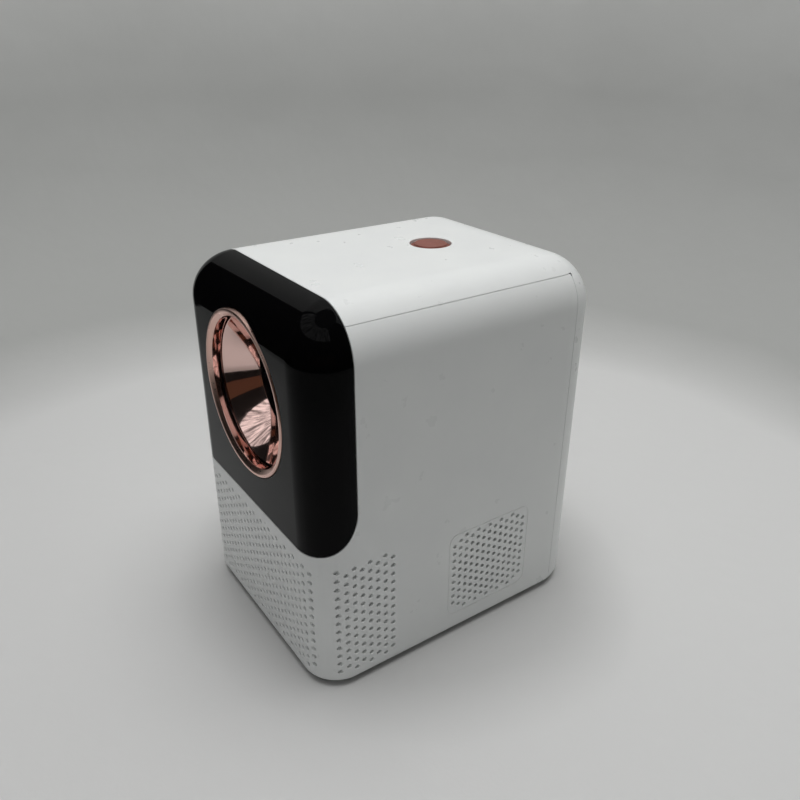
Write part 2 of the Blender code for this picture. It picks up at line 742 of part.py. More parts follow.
def fan_rotor(hub_r, tip_r, low, high, blades=7, lean=32, layers=2):
    """A hub with radial blades, twisted about the spindle from its low end to its high end."""
    bm = bmesh.new()
    loops = []
    blade_points = ((0, hub_r), (1, tip_r), (6, tip_r), (9, hub_r), (25, hub_r), (38, hub_r))
    for layer in range(layers + 1):
        share = layer / layers
        height = low + (high - low) * share
        loop = []
        for blade in range(blades):
            start = 360 * blade / blades + lean * share
            for turn, radius in blade_points:
                angle = math.radians(start + turn)
                loop.append(bm.verts.new((radius * math.cos(angle), radius * math.sin(angle), height)))
        loops.append(loop)
    close_loops(bm, loops)
    return bm


def make_dust_filter(paints, parent):
    """A foam pad inside the left vent."""
    half_y, half_z, thickness = 22.0, 21.0, 4.0
    low = (-INNER_SIDE + GAP, FAN_Y - half_y, FAN_Z - half_z)
    high = (-INNER_SIDE + GAP + thickness, FAN_Y + half_y, FAN_Z + half_z)
    finish("dust_filter", box(low, high, 0.8), paints["foam"], parent=parent)


# ---------------------------------------------------------------- electronics and sound


def make_button(paints, button_parent, parent):
    """The round cap on top, and the switch that it presses, hung below the cover on a bracket."""
    collar_low, collar_high = BUTTON_COLLAR
    cap = [
        (0, STEM_LOW),
        (STEM_R, STEM_LOW),
        (STEM_R, collar_low),
        (BUTTON_COLLAR_R, collar_low),
        (BUTTON_COLLAR_R, collar_high),
        (BUTTON_R, collar_high),
        (BUTTON_R, TOP - 0.4),
        (BUTTON_R - 0.5, TOP),
        (0, TOP),
    ]
    finish("power_button", turned(cap, 24), paints["rose"], (0, BUTTON_Y, 0), parent=button_parent)
    at = (0, BUTTON_Y, 0)
    switch = finish("tact_switch", box((-3, -3, 156.9), (3, 3, 160.2)), paints["black"], at, parent=parent)
    combine(switch, helper("tact_plunger", rod(1.7, 159, 161.4, 12), at), "UNION")
    finish("button_board", box((-12, -11, 155.0), (12, 11, 156.6)), paints["board"], at, parent=parent)
    low, floor, high = 152.2, 154.7, 167.2
    outer, inner = 17.0, 14.5
    outline = [(-outer, low), (outer, low), (outer, high), (inner, high)]
    outline += [(inner, floor), (-inner, floor), (-inner, high), (-outer, high)]
    bracket = prism([(x, -z) for x, z in outline], -9, 9)
    finish("button_bracket", bracket, paints["black"], at, "Y", parent=parent)


def make_boards(paints, parent):
    """The main board across the rear, the power board behind the speakers, and what stands on them."""
    main = box((-BOARD_SIDE, 58, STAND), (BOARD_SIDE, MAIN_BOARD_REAR, 76))
    finish("main_board", main, paints["board"], parent=parent)
    sink = prism(heat_sink_outline(12, 2, 6.5, 6, 1.2), 44, 64)
    finish("processor_heat_sink", sink, paints["aluminium"], (-4, 51.2, 0), parent=parent)
    power = box((-BOARD_SIDE, -44, STAND), (BOARD_SIDE, POWER_BOARD_REAR, 62))
    finish("power_board", power, paints["board"], parent=parent)
    on_board = POWER_BOARD_REAR + GAP
    finish("transformer", box((-32, on_board, 18), (-6, -22, 42), 1.0), paints["tape"], parent=parent)
    capacitor = turned([(0, 0), (7.4, 0), (8, 0.6), (8, 21.4), (7.4, 22), (0, 22)], 20)
    finish("filter_capacitor", capacitor, paints["charcoal"], (20, on_board, 30), "Y", parent)


def block(place, half_x, half_z, low, high):
    """A box about a place (x, z) of the rear face, between two depths."""
    x, z = place
    return box((x - half_x, low, z - half_z), (x + half_x, high, z + half_z))


def socket(name, half_x, half_z, place, hollow, wall, material, parent):
    """A box socket on the main board, with a hollow that opens at its rear end."""
    outer = block(place, half_x, half_z, MAIN_BOARD_REAR + GAP, SOCKET_REAR)
    obj = finish(name, outer, material, parent=parent)
    inner = block(place, half_x - wall, half_z - wall, hollow, REAR + 5)
    return combine(obj, helper(f"{name}_hollow", inner))


def make_ports(paints, parent):
    """The dark plate in the rear cover, with a socket in each of its windows and the receiver's eye."""
    plate = box((-PORT_SIDE, 73.0, PORT_LOW), (PORT_SIDE, 74.7, PORT_HIGH))
    plate = finish("port_plate", plate, paints["charcoal"], parent=parent)
    sockets = {}
    for name, (place, half_x, half_z, hollow, wall, paint_name) in PORTS.items():
        sockets[name] = socket(name, half_x, half_z, place, hollow, wall, paints[paint_name], parent)
        hole = block(place, half_x + GAP, half_z + GAP, 70, REAR + 3)
        combine(plate, helper(f"{name}_cut", hole))
    inlet_x, inlet_z = PORTS["mains_inlet"][0]
    for side, shift in (("left", -INLET_PIN_X), ("right", INLET_PIN_X)):
        pin = helper(f"inlet_pin_{side}", rod(INLET_PIN_R, 60, 73, 12), (inlet_x + shift, 0, inlet_z), "Y")
        combine(sockets["mains_inlet"], pin, "UNION")
    usb_x, usb_z = PORTS["usb_socket"][0]
    usb_tongue = block((usb_x, usb_z - 0.75), 5.2, 0.85, 60, TONGUE_REAR)
    combine(sockets["usb_socket"], helper("usb_tongue", usb_tongue), "UNION")
    hdmi_tongue = block(PORTS["hdmi_socket"][0], 5.6, 0.5, 60, TONGUE_REAR)
    combine(sockets["hdmi_socket"], helper("hdmi_tongue", hdmi_tongue), "UNION")
    window_at = (22, REAR, 36.5)
    combine(plate, helper("receiver_cut", rod(3.5 + GAP, -5, 5, 16), window_at, "Y"))
    window = turned([(0, -2.4), (3.5, -2.4), (3.5, -0.4), (3.1, -0.1), (0, -0.1)], 16)
    finish("receiver_window", window, paints["gloss"], window_at, "Y", parent)


def make_speaker(side, x, paints, parent, cone_parent):
    """A small round loudspeaker that faces the grille. Heights run back from its flange."""
    at = (x, SPEAKER_FRONT, SPEAKER_Z)
    outside = [(0, 22), (13.0, 22), (13.4, 11), (18.4, 2.0), (20.0, 2.0), (20.0, 0)]
    inside = [(17.4, 0), (17.4, 2.0), (11.6, 11), (0, 14)]
    finish(f"speaker_frame_{side}", turned(outside + inside, 20), paints["charcoal"], at, "Y", parent)
    rear_face = [(0, 8.4), (5.2, 8.4), (14.2, 2.4), (16.6, 1.9)]
    front_face = [(14.2, 0.9), (5.0, 6.6), (3.2, 4.6), (0, 4.2)]
    finish(f"speaker_cone_{side}", turned(rear_face + front_face, 20), paints["paper"], at, "Y", cone_parent)


# ---------------------------------------------------------------- whole object


def make_paints():
    return {
        "white": paint("white_plastic", (0.82, 0.83, 0.82), 0.32),
        "gloss": paint("black_gloss", (0.006, 0.006, 0.007), 0.06),
        "rose": paint("rose_gold_satin", (0.78, 0.45, 0.38), 0.28, 1.0),
        "rose_mirror": paint("rose_gold_mirror", (0.8, 0.47, 0.4), 0.06, 1.0),
        "charcoal": paint("charcoal_plastic", (0.05, 0.05, 0.055), 0.5),
        "black": paint("black_plastic", (0.02, 0.02, 0.022), 0.45),
        "grey": paint("grey_nylon", (0.12, 0.12, 0.13), 0.55),
        "rubber": paint("foot_rubber", (0.03, 0.03, 0.03), 0.9),
        "steel": paint("plated_steel", (0.6, 0.6, 0.6), 0.3, 1.0),
        "brass": paint("insert_brass", (0.75, 0.58, 0.25), 0.35, 1.0),
        "aluminium": paint("sink_aluminium", (0.7, 0.7, 0.72), 0.4, 1.0),
        "chrome": paint("reflector_chrome", (0.9, 0.9, 0.9), 0.08, 1.0),
        "mirror": paint("mirror_glass", (0.9, 0.92, 0.93), 0.02, 1.0),
        "glass": paint("lens_glass", (0.75, 0.85, 0.9), 0.02),
        "clear": paint("clear_sheet", (0.85, 0.9, 0.92), 0.1),
        "lcd": paint("display_glass", (0.1, 0.12, 0.14), 0.1),
        "phosphor": paint("lamp_phosphor", (0.9, 0.75, 0.1), 0.5),
        "board": paint("board_laminate", (0.02, 0.14, 0.06), 0.45),
        "tape": paint("winding_tape", (0.75, 0.6, 0.1), 0.5),
        "foam": paint("filter_foam", (0.03, 0.03, 0.03), 0.95),
        "paper": paint("cone_paper", (0.04, 0.04, 0.04), 0.8),
    }


def main():
    clear_scene()
    paints = make_paints()
    case = group("case")
    cutters = shared_cutters()
    make_front_panel(cutters, paints, case)
    make_body_shell(cutters, paints, case)
    make_top_rear_cover(cutters, paints, case)
    make_base(paints, case)
    make_lens_trim(paints, case)

    optics = group("optics", (0, 0, AXIS_Z))
    make_lens_mount(paints, optics)
    make_light_engine(paints, group("light_engine"))
    barrel = group("barrel_slide", (0, BARREL_FRONT, AXIS_Z))
    make_lens_barrel(paints, barrel)
    ring = group("focus_ring_axis", (0, GEAR_FRONT, AXIS_Z))
    wheel = group("focus_wheel_axis", (WHEEL_X, GEAR_FRONT, AXIS_Z))
    make_focus_drive(paints, ring, wheel, optics)

    side_fan = (INNER_SIDE - 11, FAN_Y, FAN_Z)
    rear_fan = (0, 60, REAR_FAN_Z)
    make_fan("side_fan", 20, 17.5, side_fan, "X", paints, case, group("side_fan_axis", side_fan))
    make_fan("rear_fan", 25, 22.5, rear_fan, "Y", paints, case, group("rear_fan_axis", rear_fan))
    make_dust_filter(paints, case)

    button = group("button_slide", (0, BUTTON_Y, TOP))
    make_button(paints, button, case)
    make_boards(paints, case)
    make_ports(paints, case)
    for x, side in ((-SPEAKER_X, "left"), (SPEAKER_X, "right")):
        make_speaker(side, x, paints, case, group(f"speaker_axis_{side}", (x, SPEAKER_FRONT, SPEAKER_Z)))


main()
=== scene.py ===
"""Looks of the home projector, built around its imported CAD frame.

Every size below is in millimetres, in the frame of the CAD: +Z up, the lens looks along -Y, and the origin is
the centre of the footprint at the underside of the feet. make() turns each mesh into metres. The driving
sizes are read from the CAD nodes' boxes, so a fine piece lies exactly where its CAD node does.
"""

import json
import math

import bmesh
import bpy
from mathutils import Euler, Matrix, Vector


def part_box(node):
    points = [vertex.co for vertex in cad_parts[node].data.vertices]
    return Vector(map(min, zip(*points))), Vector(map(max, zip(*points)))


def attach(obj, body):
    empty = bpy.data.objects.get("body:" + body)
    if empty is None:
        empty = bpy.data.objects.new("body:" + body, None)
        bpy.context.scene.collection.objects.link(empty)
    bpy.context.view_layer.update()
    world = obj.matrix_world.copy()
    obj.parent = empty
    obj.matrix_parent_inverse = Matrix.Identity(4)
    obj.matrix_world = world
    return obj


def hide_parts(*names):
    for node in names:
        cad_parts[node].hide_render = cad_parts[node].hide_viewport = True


MM = 0.001

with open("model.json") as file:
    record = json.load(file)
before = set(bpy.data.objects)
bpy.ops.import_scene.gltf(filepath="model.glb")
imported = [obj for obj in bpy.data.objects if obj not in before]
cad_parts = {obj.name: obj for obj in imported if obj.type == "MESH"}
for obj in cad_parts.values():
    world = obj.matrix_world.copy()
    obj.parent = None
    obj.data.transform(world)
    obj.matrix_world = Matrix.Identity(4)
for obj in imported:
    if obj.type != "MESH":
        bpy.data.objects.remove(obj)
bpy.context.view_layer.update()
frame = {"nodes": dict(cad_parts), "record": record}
NODES = frame["nodes"]
BODY_OF = {n: body for body, members in frame["record"]["behaviour"]["bodies"].items() for n in members}
SLOT_OF = {part["node"]: part["material_slot"] for part in frame["record"]["subparts"]}


def box_mm(node):
    """Lowest and highest corner of a CAD node, in millimetres."""
    low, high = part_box(node)
    return low / MM, high / MM


def round_box(node):
    """Lowest and highest corner, centre and radius of a round CAD node, in millimetres."""
    low, high = box_mm(node)
    return low, high, (low + high) / 2, (high.x - low.x) / 2


# Case, from the boxes of its three shells
GAP = 0.3
BAND_GAP = 0.32  # between the band and the white shells
SEAM_GAP = 0.15  # between the shell and the cover, as fine as it looks
WALL = 2.5
SHELL_LOW, SHELL_HIGH = box_mm("body_shell")
_, COVER_HIGH = box_mm("top_rear_cover")
BAND_LOW, BAND_HIGH = box_mm("front_panel")
SIDE = SHELL_HIGH.x
FRONT = BAND_LOW.y
REAR = COVER_HIGH.y
TOP = COVER_HIGH.z
FLOOR = SHELL_LOW.z
BAND_REAR = BAND_HIGH.y
BAND_BOTTOM = BAND_LOW.z
TOP_SEAM = SHELL_HIGH.z + GAP
REAR_SEAM = SHELL_HIGH.y + GAP
INNER_SIDE = SIDE - WALL
FRONT_CORNER_R = 16.6
REAR_CORNER_R = 23.0
SIDE_TOP_R = 21.5
FRONT_TOP_R = 21.0
REAR_TOP_R = 24.0
BOTTOM_R = 3.5
BAND_CORNER_R = 19.0
RIM = 6.0  # width of the case's bottom rim round the base plate
RIM_TOP = 5.0
CORNER_STEPS = 16
EDGE = 0.25  # how far the seam edges are rounded
EDGE_ANGLE = 50
PAST = 5  # how far a cutter reaches past the case
WHEEL_SLOT = (1.5, 10)  # play before and behind the focus wheel, and half the slot's height

# Perforations
HOLE_R = 1.05
VENT_HOLE_R = 1.0
HOLE_FLARE = 0.22
HOLE_SIDES = 14
HOLE_LEAD = 4.0  # how far the cutter stands out of the wall
THROUGH = 7.0
BLIND = 1.2  # depth of the holes that don't go through
VENT_R = 17.8  # the fan draws air through the vent holes inside this radius
GRILLE_PITCH = 3.785
GRILLE_ROW = 4.42
GRILLE_COLUMNS = 27
GRILLE_Z = 35.3
RETURN_COLUMNS = 8
RETURN_PITCH = 3.764
RETURN_AT = (FRONT + 22.53, GRILLE_Z)
VENT_COLUMNS = 13
VENT_PITCH = 3.36
VENT_ROW = 3.97
VENT_AT = (14.0, 34.5)
VENT_LINE = (23.4, 22.4)  # half sizes of the line round the vent
VENT_LINE_R = 4.5
REAR_VENT_R = 23.5
REAR_VENT_Z = 118.0
REAR_VENT_COLUMNS = 15

# Lens. Depths are behind the front face.
RING_LOW, RING_HIGH = box_mm("lens_ring")
AXIS_Z = (RING_LOW.z + RING_HIGH.z) / 2
RING_R = 36.1
RING_INNER_R = 32.7
RING_FRONT = RING_LOW.y - FRONT  # a small negative number: the ring stands proud
RING_FLANGE = (6.3, 7.5)
FLANGE_R = RING_HIGH.x
CONE_LOW, CONE_HIGH = box_mm("lens_cone")
CONE_START = CONE_LOW.y - FRONT
CONE_END = CONE_HIGH.y - FRONT
CONE_MOUTH_R = 31.9
CONE_THROAT_R = 24.6
CONE_FLANGE = (7.8, 9.3)
CONE_BACK_R = 30.8
BARREL_WALL = 2.0
BAFFLE_PITCH = 1.0
BAFFLE_DEPTH = 0.25
LENS_STEPS = 14

# Button
BUTTON_R = 9.1
BUTTON_UNDERSIDE = 167.0
BUTTON_COLLAR_END = 165.6
BUTTON_STEM_R = 3

# Base
FOOT_HOLLOW = 0.35
INSERT_R = 5.0
INSERT_BORE_R = 2.7
SCREWS = range(1, 5)
SCREW_WELL_R = 3.0
SCREW_SHANK_START = 4.3
CROSS_ARMS = ((1.35, 0.24), (0.24, 1.35))
INTAKE_ROWS = 12
INTAKE_PITCH = 4.0
INTAKE_PLACE = (24, 22.0)  # middle of one field of slots, which the other mirrors
INTAKE_SLOT = (14, 1.0)
INTAKE_DEPTH = 1.3
BASE_LINE = ((RIM + 3.0, 0), (RIM + 3.0, 2.65), (RIM + 3.6, 2.65), (RIM + 3.6, 0))

# Focus drive
GEAR_MODULE = 1.5
TOOTH = ((-0.275, -1.1), (-0.1, 0.8), (0.1, 0.8), (0.275, -1.1))
WEB_DEPTH = 1.2
MOUNT_BORE_R = 27.4
MOUNT_R = 29.1
MOUNT_LIP_R = 30.2
MOUNT_RIB_R = 31.0

# Ports
PLATE_LINE = (1.6, 0.4, 0.2)  # inset, width and depth of the line round the port plate
EYE_HOLE_R = 3.8
EYE_DOME = 0.55
SHELL_SHEET = 0.5
SOCKET_WALL = 2.2
INLET_FLOOR = 64
PIN_SHIFT = 4.3
PIN_R = 1.15
PIN_END = 73.0
RECESS_R = 4.6
JACK_R = 1.75

# Fans and loudspeakers
BLADES = 9
BLADE_SWEEP = 14
HUB_R = 7.8
HUB_HOLDER_R = 9.2
TIP_PLAY = 0.7
HOLDER = 1.6  # thickness of the fan's struts
FAN_SCREW_R = 1.5
BASKET_OUTSIDE = [(0, 22), (13.0, 22), (13.4, 11), (18.4, 2.0), (20.0, 2.0), (20.0, 0)]
BASKET_INSIDE = [(17.4, 0), (17.4, 2.0), (11.6, 11), (0, 14)]
CONE_REAR = [(0, 8.2), (5.2, 8.3), (14.0, 2.4), (16.5, 1.95)]
CONE_SLOPE = [(13.8, 1.7), (10.0, 3.6), (7.0, 5.3), (5.2, 6.6)]

# Electronics: chips as (x, z, half width, half height)
MAIN_CHIPS = (
    (-30, 60, 6, 6),
    (-12, 22, 3.5, 5),
    (14, 24, 4, 4),
    (32, 58, 4.5, 3),
    (30, 40, 3, 6),
    (-34, 38, 5, 3.5),
)
POWER_CHIPS = ((-36, 52, 4, 5), (36, 50, 5, 4), (38, 14, 4, 3))
CORE_SHARE = 0.22  # height of one half of the transformer's core
FRESNEL_Y = 18  # middle of the grooves
FRESNEL_PITCH = 0.6

AXES = {"X": (0, math.pi / 2, 0), "Y": (-math.pi / 2, 0, 0), "Z": (0, 0, 0)}
CORNERS = ((-1, -1), (1, -1), (1, 1), (-1, 1))
XZY = (0, 2, 1)
ZXY = (2, 0, 1)
LOOKS = {}  # each material by its name, which is also the name of its slot


# ---------------------------------------------------------------- mesh helpers


def placing(at, axis):
    """Takes the local origin to a place, and local Z to an axis."""
    return Matrix.Translation(at) @ Euler(AXES[axis]).to_matrix().to_4x4()


def place(bm, at, axis="Z"):
    bm.transform(placing(at, axis))
    return bm


def make(name, bm, at=(0, 0, 0), axis="Z", sharp=32):
    """Turns a millimetre bmesh into an object whose mesh is already in place, in metres."""
    bm.transform(Matrix.Scale(MM, 4) @ placing(at, axis))
    bmesh.ops.recalc_face_normals(bm, faces=bm.faces)
    mesh = bpy.data.meshes.new(name)
    bm.to_mesh(mesh)
    bm.free()
    shade(mesh, sharp)
    obj = bpy.data.objects.new(name, mesh)
    bpy.context.scene.collection.objects.link(obj)
    return obj


def shade(mesh, sharp=32):
    mesh.shade_smooth()
    mesh.set_sharp_from_angle(angle=math.radians(sharp))


def bake(obj):
    """Applies an object's modifiers to its mesh."""
    bpy.context.view_layer.update()
    graph = bpy.context.evaluated_depsgraph_get()
    mesh = bpy.data.meshes.new_from_object(obj.evaluated_get(graph))
    old = obj.data
    obj.modifiers.clear()
    obj.data = mesh
    bpy.data.meshes.remove(old)
    shade(mesh)


def combine(obj, bm, operation="DIFFERENCE", crossing=False):
    """Cuts a millimetre bmesh out of an object, or intersects them. crossing is for a bmesh whose own parts
    run through each other."""
    other = make("cutter", bm)
    modifier = obj.modifiers.new("shape", "BOOLEAN")
    modifier.operation = operation
    modifier.object = other
    modifier.solver = "EXACT" if crossing else "MANIFOLD"
    modifier.use_self = crossing
    bake(obj)
    bpy.data.objects.remove(other)


def soften_edges(obj, width, angle):
    """Rounds the sharp edges of an object by a small width in millimetres."""
    clear_sharp_edges(obj.data, 1.8 * width * MM, math.radians(angle))
    modifier = obj.modifiers.new("edges", "BEVEL")
    modifier.width = width * MM
    modifier.segments = 2
    modifier.limit_method = "ANGLE"
    modifier.angle_limit = math.radians(angle)
    modifier.use_clamp_overlap = False
    bake(obj)


def linked(vert, other):
    return any(edge.other_vert(vert) == other for edge in vert.link_edges)


def clear_sharp_edges(mesh, reach, angle):
    """Welds loose vertices beside a sharp edge onto it, so that the rounding of the edge can't pass them."""
    bm = bmesh.new()
    bm.from_mesh(mesh)
    sharp = [e for e in bm.edges if len(e.link_faces) == 2 and e.calc_face_angle(0) > angle]
    keep = list({vert for edge in sharp for vert in edge.verts})
    near = bmesh.ops.find_doubles(bm, verts=bm.verts, keep_verts=keep, dist=reach)["targetmap"]
    targets = {vert: near[vert] for vert in near if linked(vert, near[vert])}
    bmesh.ops.weld_verts(bm, targetmap=targets)
    bmesh.ops.dissolve_degenerate(bm, dist=1e-7, edges=bm.edges)
    bm.to_mesh(mesh)
    bm.free()


def level_normals(obj):
    """Keeps the shading of flat faces flat beside rounded edges."""
    modifier = obj.modifiers.new("normals", "WEIGHTED_NORMAL")
    modifier.keep_sharp = True
    modifier.weight = 60


def cover_with(obj, look):
    obj.data.materials.clear()
    obj.data.materials.append(look)
    for face in obj.data.polygons:
        face.material_index = 0


def fit(obj, node, look=None):
    """The object stands for a CAD node: it rides on the same body and takes the same material slot."""
    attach(obj, BODY_OF[node])
    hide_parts(node)
    cover_with(obj, LOOKS[look or SLOT_OF[node]])


def finish(obj, node, width=EDGE, angle=EDGE_ANGLE, level=True):
    """Rounds the edges of a fine piece, and lets it stand for its CAD node."""
    soften_edges(obj, width, angle)
    if level:
        level_normals(obj)
    fit(obj, node)


def stand_in(node, bm, at=(0, 0, 0), axis="Z", sharp=32):
    """A fine mesh in a CAD node's place."""
    fit(make(f"fine_{node}", bm, at, axis, sharp), node)


def add(name, bm, slot, at=(0, 0, 0), axis="Z"):
    """An added piece in the case, which stands beside the CAD nodes."""
    obj = make(name, bm, at, axis)
    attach(obj, "case")
    cover_with(obj, LOOKS[slot])


def arc(centre, radius, start, end, steps):
    """Points on a circle, with angles in degrees."""
    points = []
    for i in range(steps + 1):
        angle = math.radians(start + (end - start) * i / steps)
        points.append((centre[0] + radius * math.cos(angle), centre[1] + radius * math.sin(angle)))
    return points


def circle(radius, steps, centre=(0, 0)):
    return arc(centre, radius, 0, 360, steps)[:-1]


def rectangle(centre, half_x, half_y):
    return [(centre[0] + sx * half_x, centre[1] + sy * half_y) for sx, sy in CORNERS]


def rounded_rectangle(half_x, half_y, radius, steps=6, centre=(0, 0)):
    points = []
    for sx, sy, start in ((1, 1, 0), (-1, 1, 90), (-1, -1, 180), (1, -1, 270)):
        corner = (centre[0] + sx * (half_x - radius), centre[1] + sy * (half_y - radius))
        points += arc(corner, radius, start, start + 90, steps)
    return points


def soften(points, radius, closed=True, steps=3):
    """Rounds the corners of an outline, by at most 45% of each edge."""
    count = len(points)
    result = []
    for i, point in enumerate(points):
        if not closed and i in (0, count - 1):
            result.append(point)
            continue
        here = Vector(point)
        before = Vector(points[i - 1]) - here
        after = Vector(points[(i + 1) % count]) - here
        start = here + before.normalized() * min(radius, 0.45 * before.length)
        end = here + after.normalized() * min(radius, 0.45 * after.length)
        for step in range(steps + 1):
            share = step / steps
            result.append(tuple(start * (1 - share) ** 2 + here * 2 * share * (1 - share) + end * share**2))
    return result


def crown(radius, base, rise, steps):
    """The outline of a dome, from just over its foot to its top on the axis."""
    leans = [math.radians(90 * step / steps) for step in range(1, steps)]
    return [(radius * math.cos(lean), base + rise * math.sin(lean)) for lean in leans] + [(0, base + rise)]


def skin(bm, loops, cyclic=False):
    """Joins a stack of equal closed loops of vertices with quads."""
    pairs = list(zip(loops, loops[1:]))
    if cyclic:
        pairs.append((loops[-1], loops[0]))
    for lower, upper in pairs:
        for i in range(len(lower)):
            j = (i + 1) % len(lower)
            bm.faces.new((lower[i], lower[j], upper[j], upper[i]))


def stack_into(bm, loops, cyclic=False):
    """Adds a solid from a stack of loops of points. Its ends are closed, or join each other if cyclic."""
    loops = [[bm.verts.new(point) for point in loop] for loop in loops]
    skin(bm, loops, cyclic)
    if not cyclic:
        bm.faces.new(loops[0][::-1])
        bm.faces.new(loops[-1])


def stack(loops, cyclic=False):
    bm = bmesh.new()
    stack_into(bm, loops, cyclic)
    return bm


def prism_into(bm, outline, low, high):
    """Adds one closed prism along local Z to a mesh that may hold others."""
    stack_into(bm, [[(*point, level) for point in outline] for level in (low, high)])


def prism(outline, low, high):
    bm = bmesh.new()
    prism_into(bm, outline, low, high)
    return bm


def reorder(bm, order):
    """Reads the coordinates of each vertex in another order."""
    for vert in bm.verts:
        vert.co = [vert.co[i] for i in order]
    return bm


def side_prism(outline, half_width):
    """An outline of (y, z) points, extruded along X on both sides of the middle plane."""
    return reorder(prism(outline, -half_width, half_width), ZXY)


def rear_prism(outline, middle, low, high):
    """An outline of (x, z) points about a middle, extruded along Y."""
    return reorder(prism([(middle[0] + x, middle[1] + z) for x, z in outline], low, high), XZY)


def line_cutter(halves, radius, centre, width, depth, face, out):
    """Cuts a fine closed line into a face that lies at a level along local Z and looks to out, +1 or -1."""
    loops = []
    bottom = face - out * depth
    for grow, level in ((0, face + out), (0, bottom), (-width, bottom), (-width, face + out)):
        outline = rounded_rectangle(halves[0] + grow, halves[1] + grow, radius + grow, centre=centre)
        loops.append([(*point, level) for point in outline])
    return stack(loops, cyclic=True)


def box(low, high, bevel=0.0, segments=3):
    """A box between two corners, with rounded edges."""
    bm = bmesh.new()
    bmesh.ops.create_cube(bm, size=1)
    low, high = Vector(low), Vector(high)
    bmesh.ops.scale(bm, vec=high - low, verts=bm.verts)
    bmesh.ops.translate(bm, vec=(low + high) / 2, verts=bm.verts)
    if bevel:
        bmesh.ops.bevel(bm, geom=bm.edges, offset=bevel, segments=segments, profile=0.5, affect="EDGES")
    return bm


def turned(profile, steps=128):
    """A solid of revolution about local Z from (radius, height) points. A profile that starts and ends on the
    axis is solid, and any other is a ring."""
    bm = bmesh.new()
    solid = profile[0][0] < 1e-6
    loops = []
    for radius, height in profile[1:-1] if solid else profile:
        loops.append([bm.verts.new((x, y, height)) for x, y in circle(radius, steps)])
    skin(bm, loops, cyclic=not solid)
    if solid:
        for loop, (_, height) in ((loops[0], profile[0]), (loops[-1], profile[-1])):
            centre = bm.verts.new((0, 0, height))
            for i in range(steps):
                bm.faces.new((loop[i], loop[(i + 1) % steps], centre))
    return bm


def rod(radius, low, high, steps=64):
    return turned([(0, low), (radius, low), (radius, high), (0, high)], steps)


# ---------------------------------------------------------------- case


def case_ring(inset, lean, level=None, extra=0.0):
    """One closed loop of the case's surface. lean is how far up the top rounding it lies, from 0 to 90
    degrees. level puts the whole loop at one height, and extra pulls it in."""
    pull = 1 - math.cos(lean)
    points = []
    for sx, sy in ((1, -1), (1, 1), (-1, 1), (-1, -1)):
        end_r = (FRONT_TOP_R if sy < 0 else REAR_TOP_R) - inset
        side_r = SIDE_TOP_R - inset
        radius = ((FRONT_CORNER_R if sy < 0 else REAR_CORNER_R) - inset - extra) * (1 - pull)
        turning = range(CORNER_STEPS + 1)
        for i in turning if sx * sy < 0 else reversed(turning):
            share = i / CORNER_STEPS
            angle = math.radians(90 * share)  # 0 on the end face, 90 degrees on the side face
            x = SIDE - inset - extra - side_r * pull - radius * (1 - math.sin(angle))
            y = REAR - inset - extra - end_r * pull - radius * (1 - math.cos(angle))
            drop = (end_r * (1 - share) + side_r * share) * (1 - math.sin(lean))
            points.append((sx * x, sy * y, TOP - inset - drop if level is None else level))
    return points


def case_block(inset, floor):
    """The case's outer form moved inwards by inset, down to the height floor."""
    loops = []
    if inset:
        loops.append(case_ring(inset, 0, floor))
    else:
        for angle in range(0, 91, 15):
            rise = math.radians(angle)
            extra = BOTTOM_R * (1 - math.sin(rise))
            loops.append(case_ring(0, 0, floor + BOTTOM_R * (1 - math.cos(rise)), extra))
    for step in range(CORNER_STEPS + 1):
        loops.append(case_ring(inset, math.radians(90 * step / CORNER_STEPS)))
    bm = stack(loops)
    bmesh.ops.remove_doubles(bm, verts=bm.verts, dist=0.001)
    return bm


def band_zone(grow):
    """The gloss band's zone in side view: the front of the case, down to a round lower rear corner."""
    reach = 2 * PAST
    corner = arc((FRONT, BAND_BOTTOM + BAND_CORNER_R), BAND_CORNER_R + grow, -90, 0, 24)
    outline = [(FRONT - reach, BAND_BOTTOM - grow), *corner]
    outline += [(BAND_REAR + grow, TOP + reach), (FRONT - reach, TOP + reach)]
    return side_prism(outline, SIDE + reach)


def cover_zone(grow):
    """The top and rear cover's zone in side view, an L turned over."""
    seam, rear_seam = TOP_SEAM - grow, REAR_SEAM - grow
    outline = [(FRONT, seam), (rear_seam, seam), (rear_seam, -PAST)]
    outline += [(REAR + PAST, -PAST), (REAR + PAST, TOP + PAST), (FRONT, TOP + PAST)]
    return side_prism(outline, SIDE + 2 * PAST)


def bottom_opening():
    return stack([case_ring(0, 0, level, RIM) for level in (-PAST, RIM_TOP + 1)])


def front_surface(x):
    """How far back the front face lies at a place across the case."""
    over = max(0.0, abs(x) - (SIDE - FRONT_CORNER_R))
    return FRONT + FRONT_CORNER_R - math.sqrt(FRONT_CORNER_R**2 - over**2)


def side_surface(y):
    """How far out the side face lies at a place along the case."""
    over = max(0.0, FRONT + FRONT_CORNER_R - y)
    return SIDE - FRONT_CORNER_R + math.sqrt(FRONT_CORNER_R**2 - over**2)


def drill(bm, axis, centre, surface, inward, radius=HOLE_R, depth=THROUGH):
    """Adds a round cutter with a flared mouth. surface is where the wall's face lies along the axis, and
    inward is +1 or -1, the way into the case."""
    mouth = radius + HOLE_FLARE
    loops = []
    for along, ring_r in ((-HOLE_LEAD, mouth), (0.0, mouth), (HOLE_FLARE, radius), (depth, radius)):
        level = surface + inward * along
        points = circle(ring_r, HOLE_SIDES, centre)
        loops.append([(u, level, v) if axis == "Y" else (level, u, v) for u, v in points])
    stack_into(bm, loops)


def columns(count, pitch, row_pitch, rows):
    """Places of staggered columns about the origin. rows(i) is how many holes column i has."""
    for i in range(count):
        for j in range(rows(i)):
            yield (i - (count - 1) / 2) * pitch, (j - (rows(i) - 1) / 2) * row_pitch


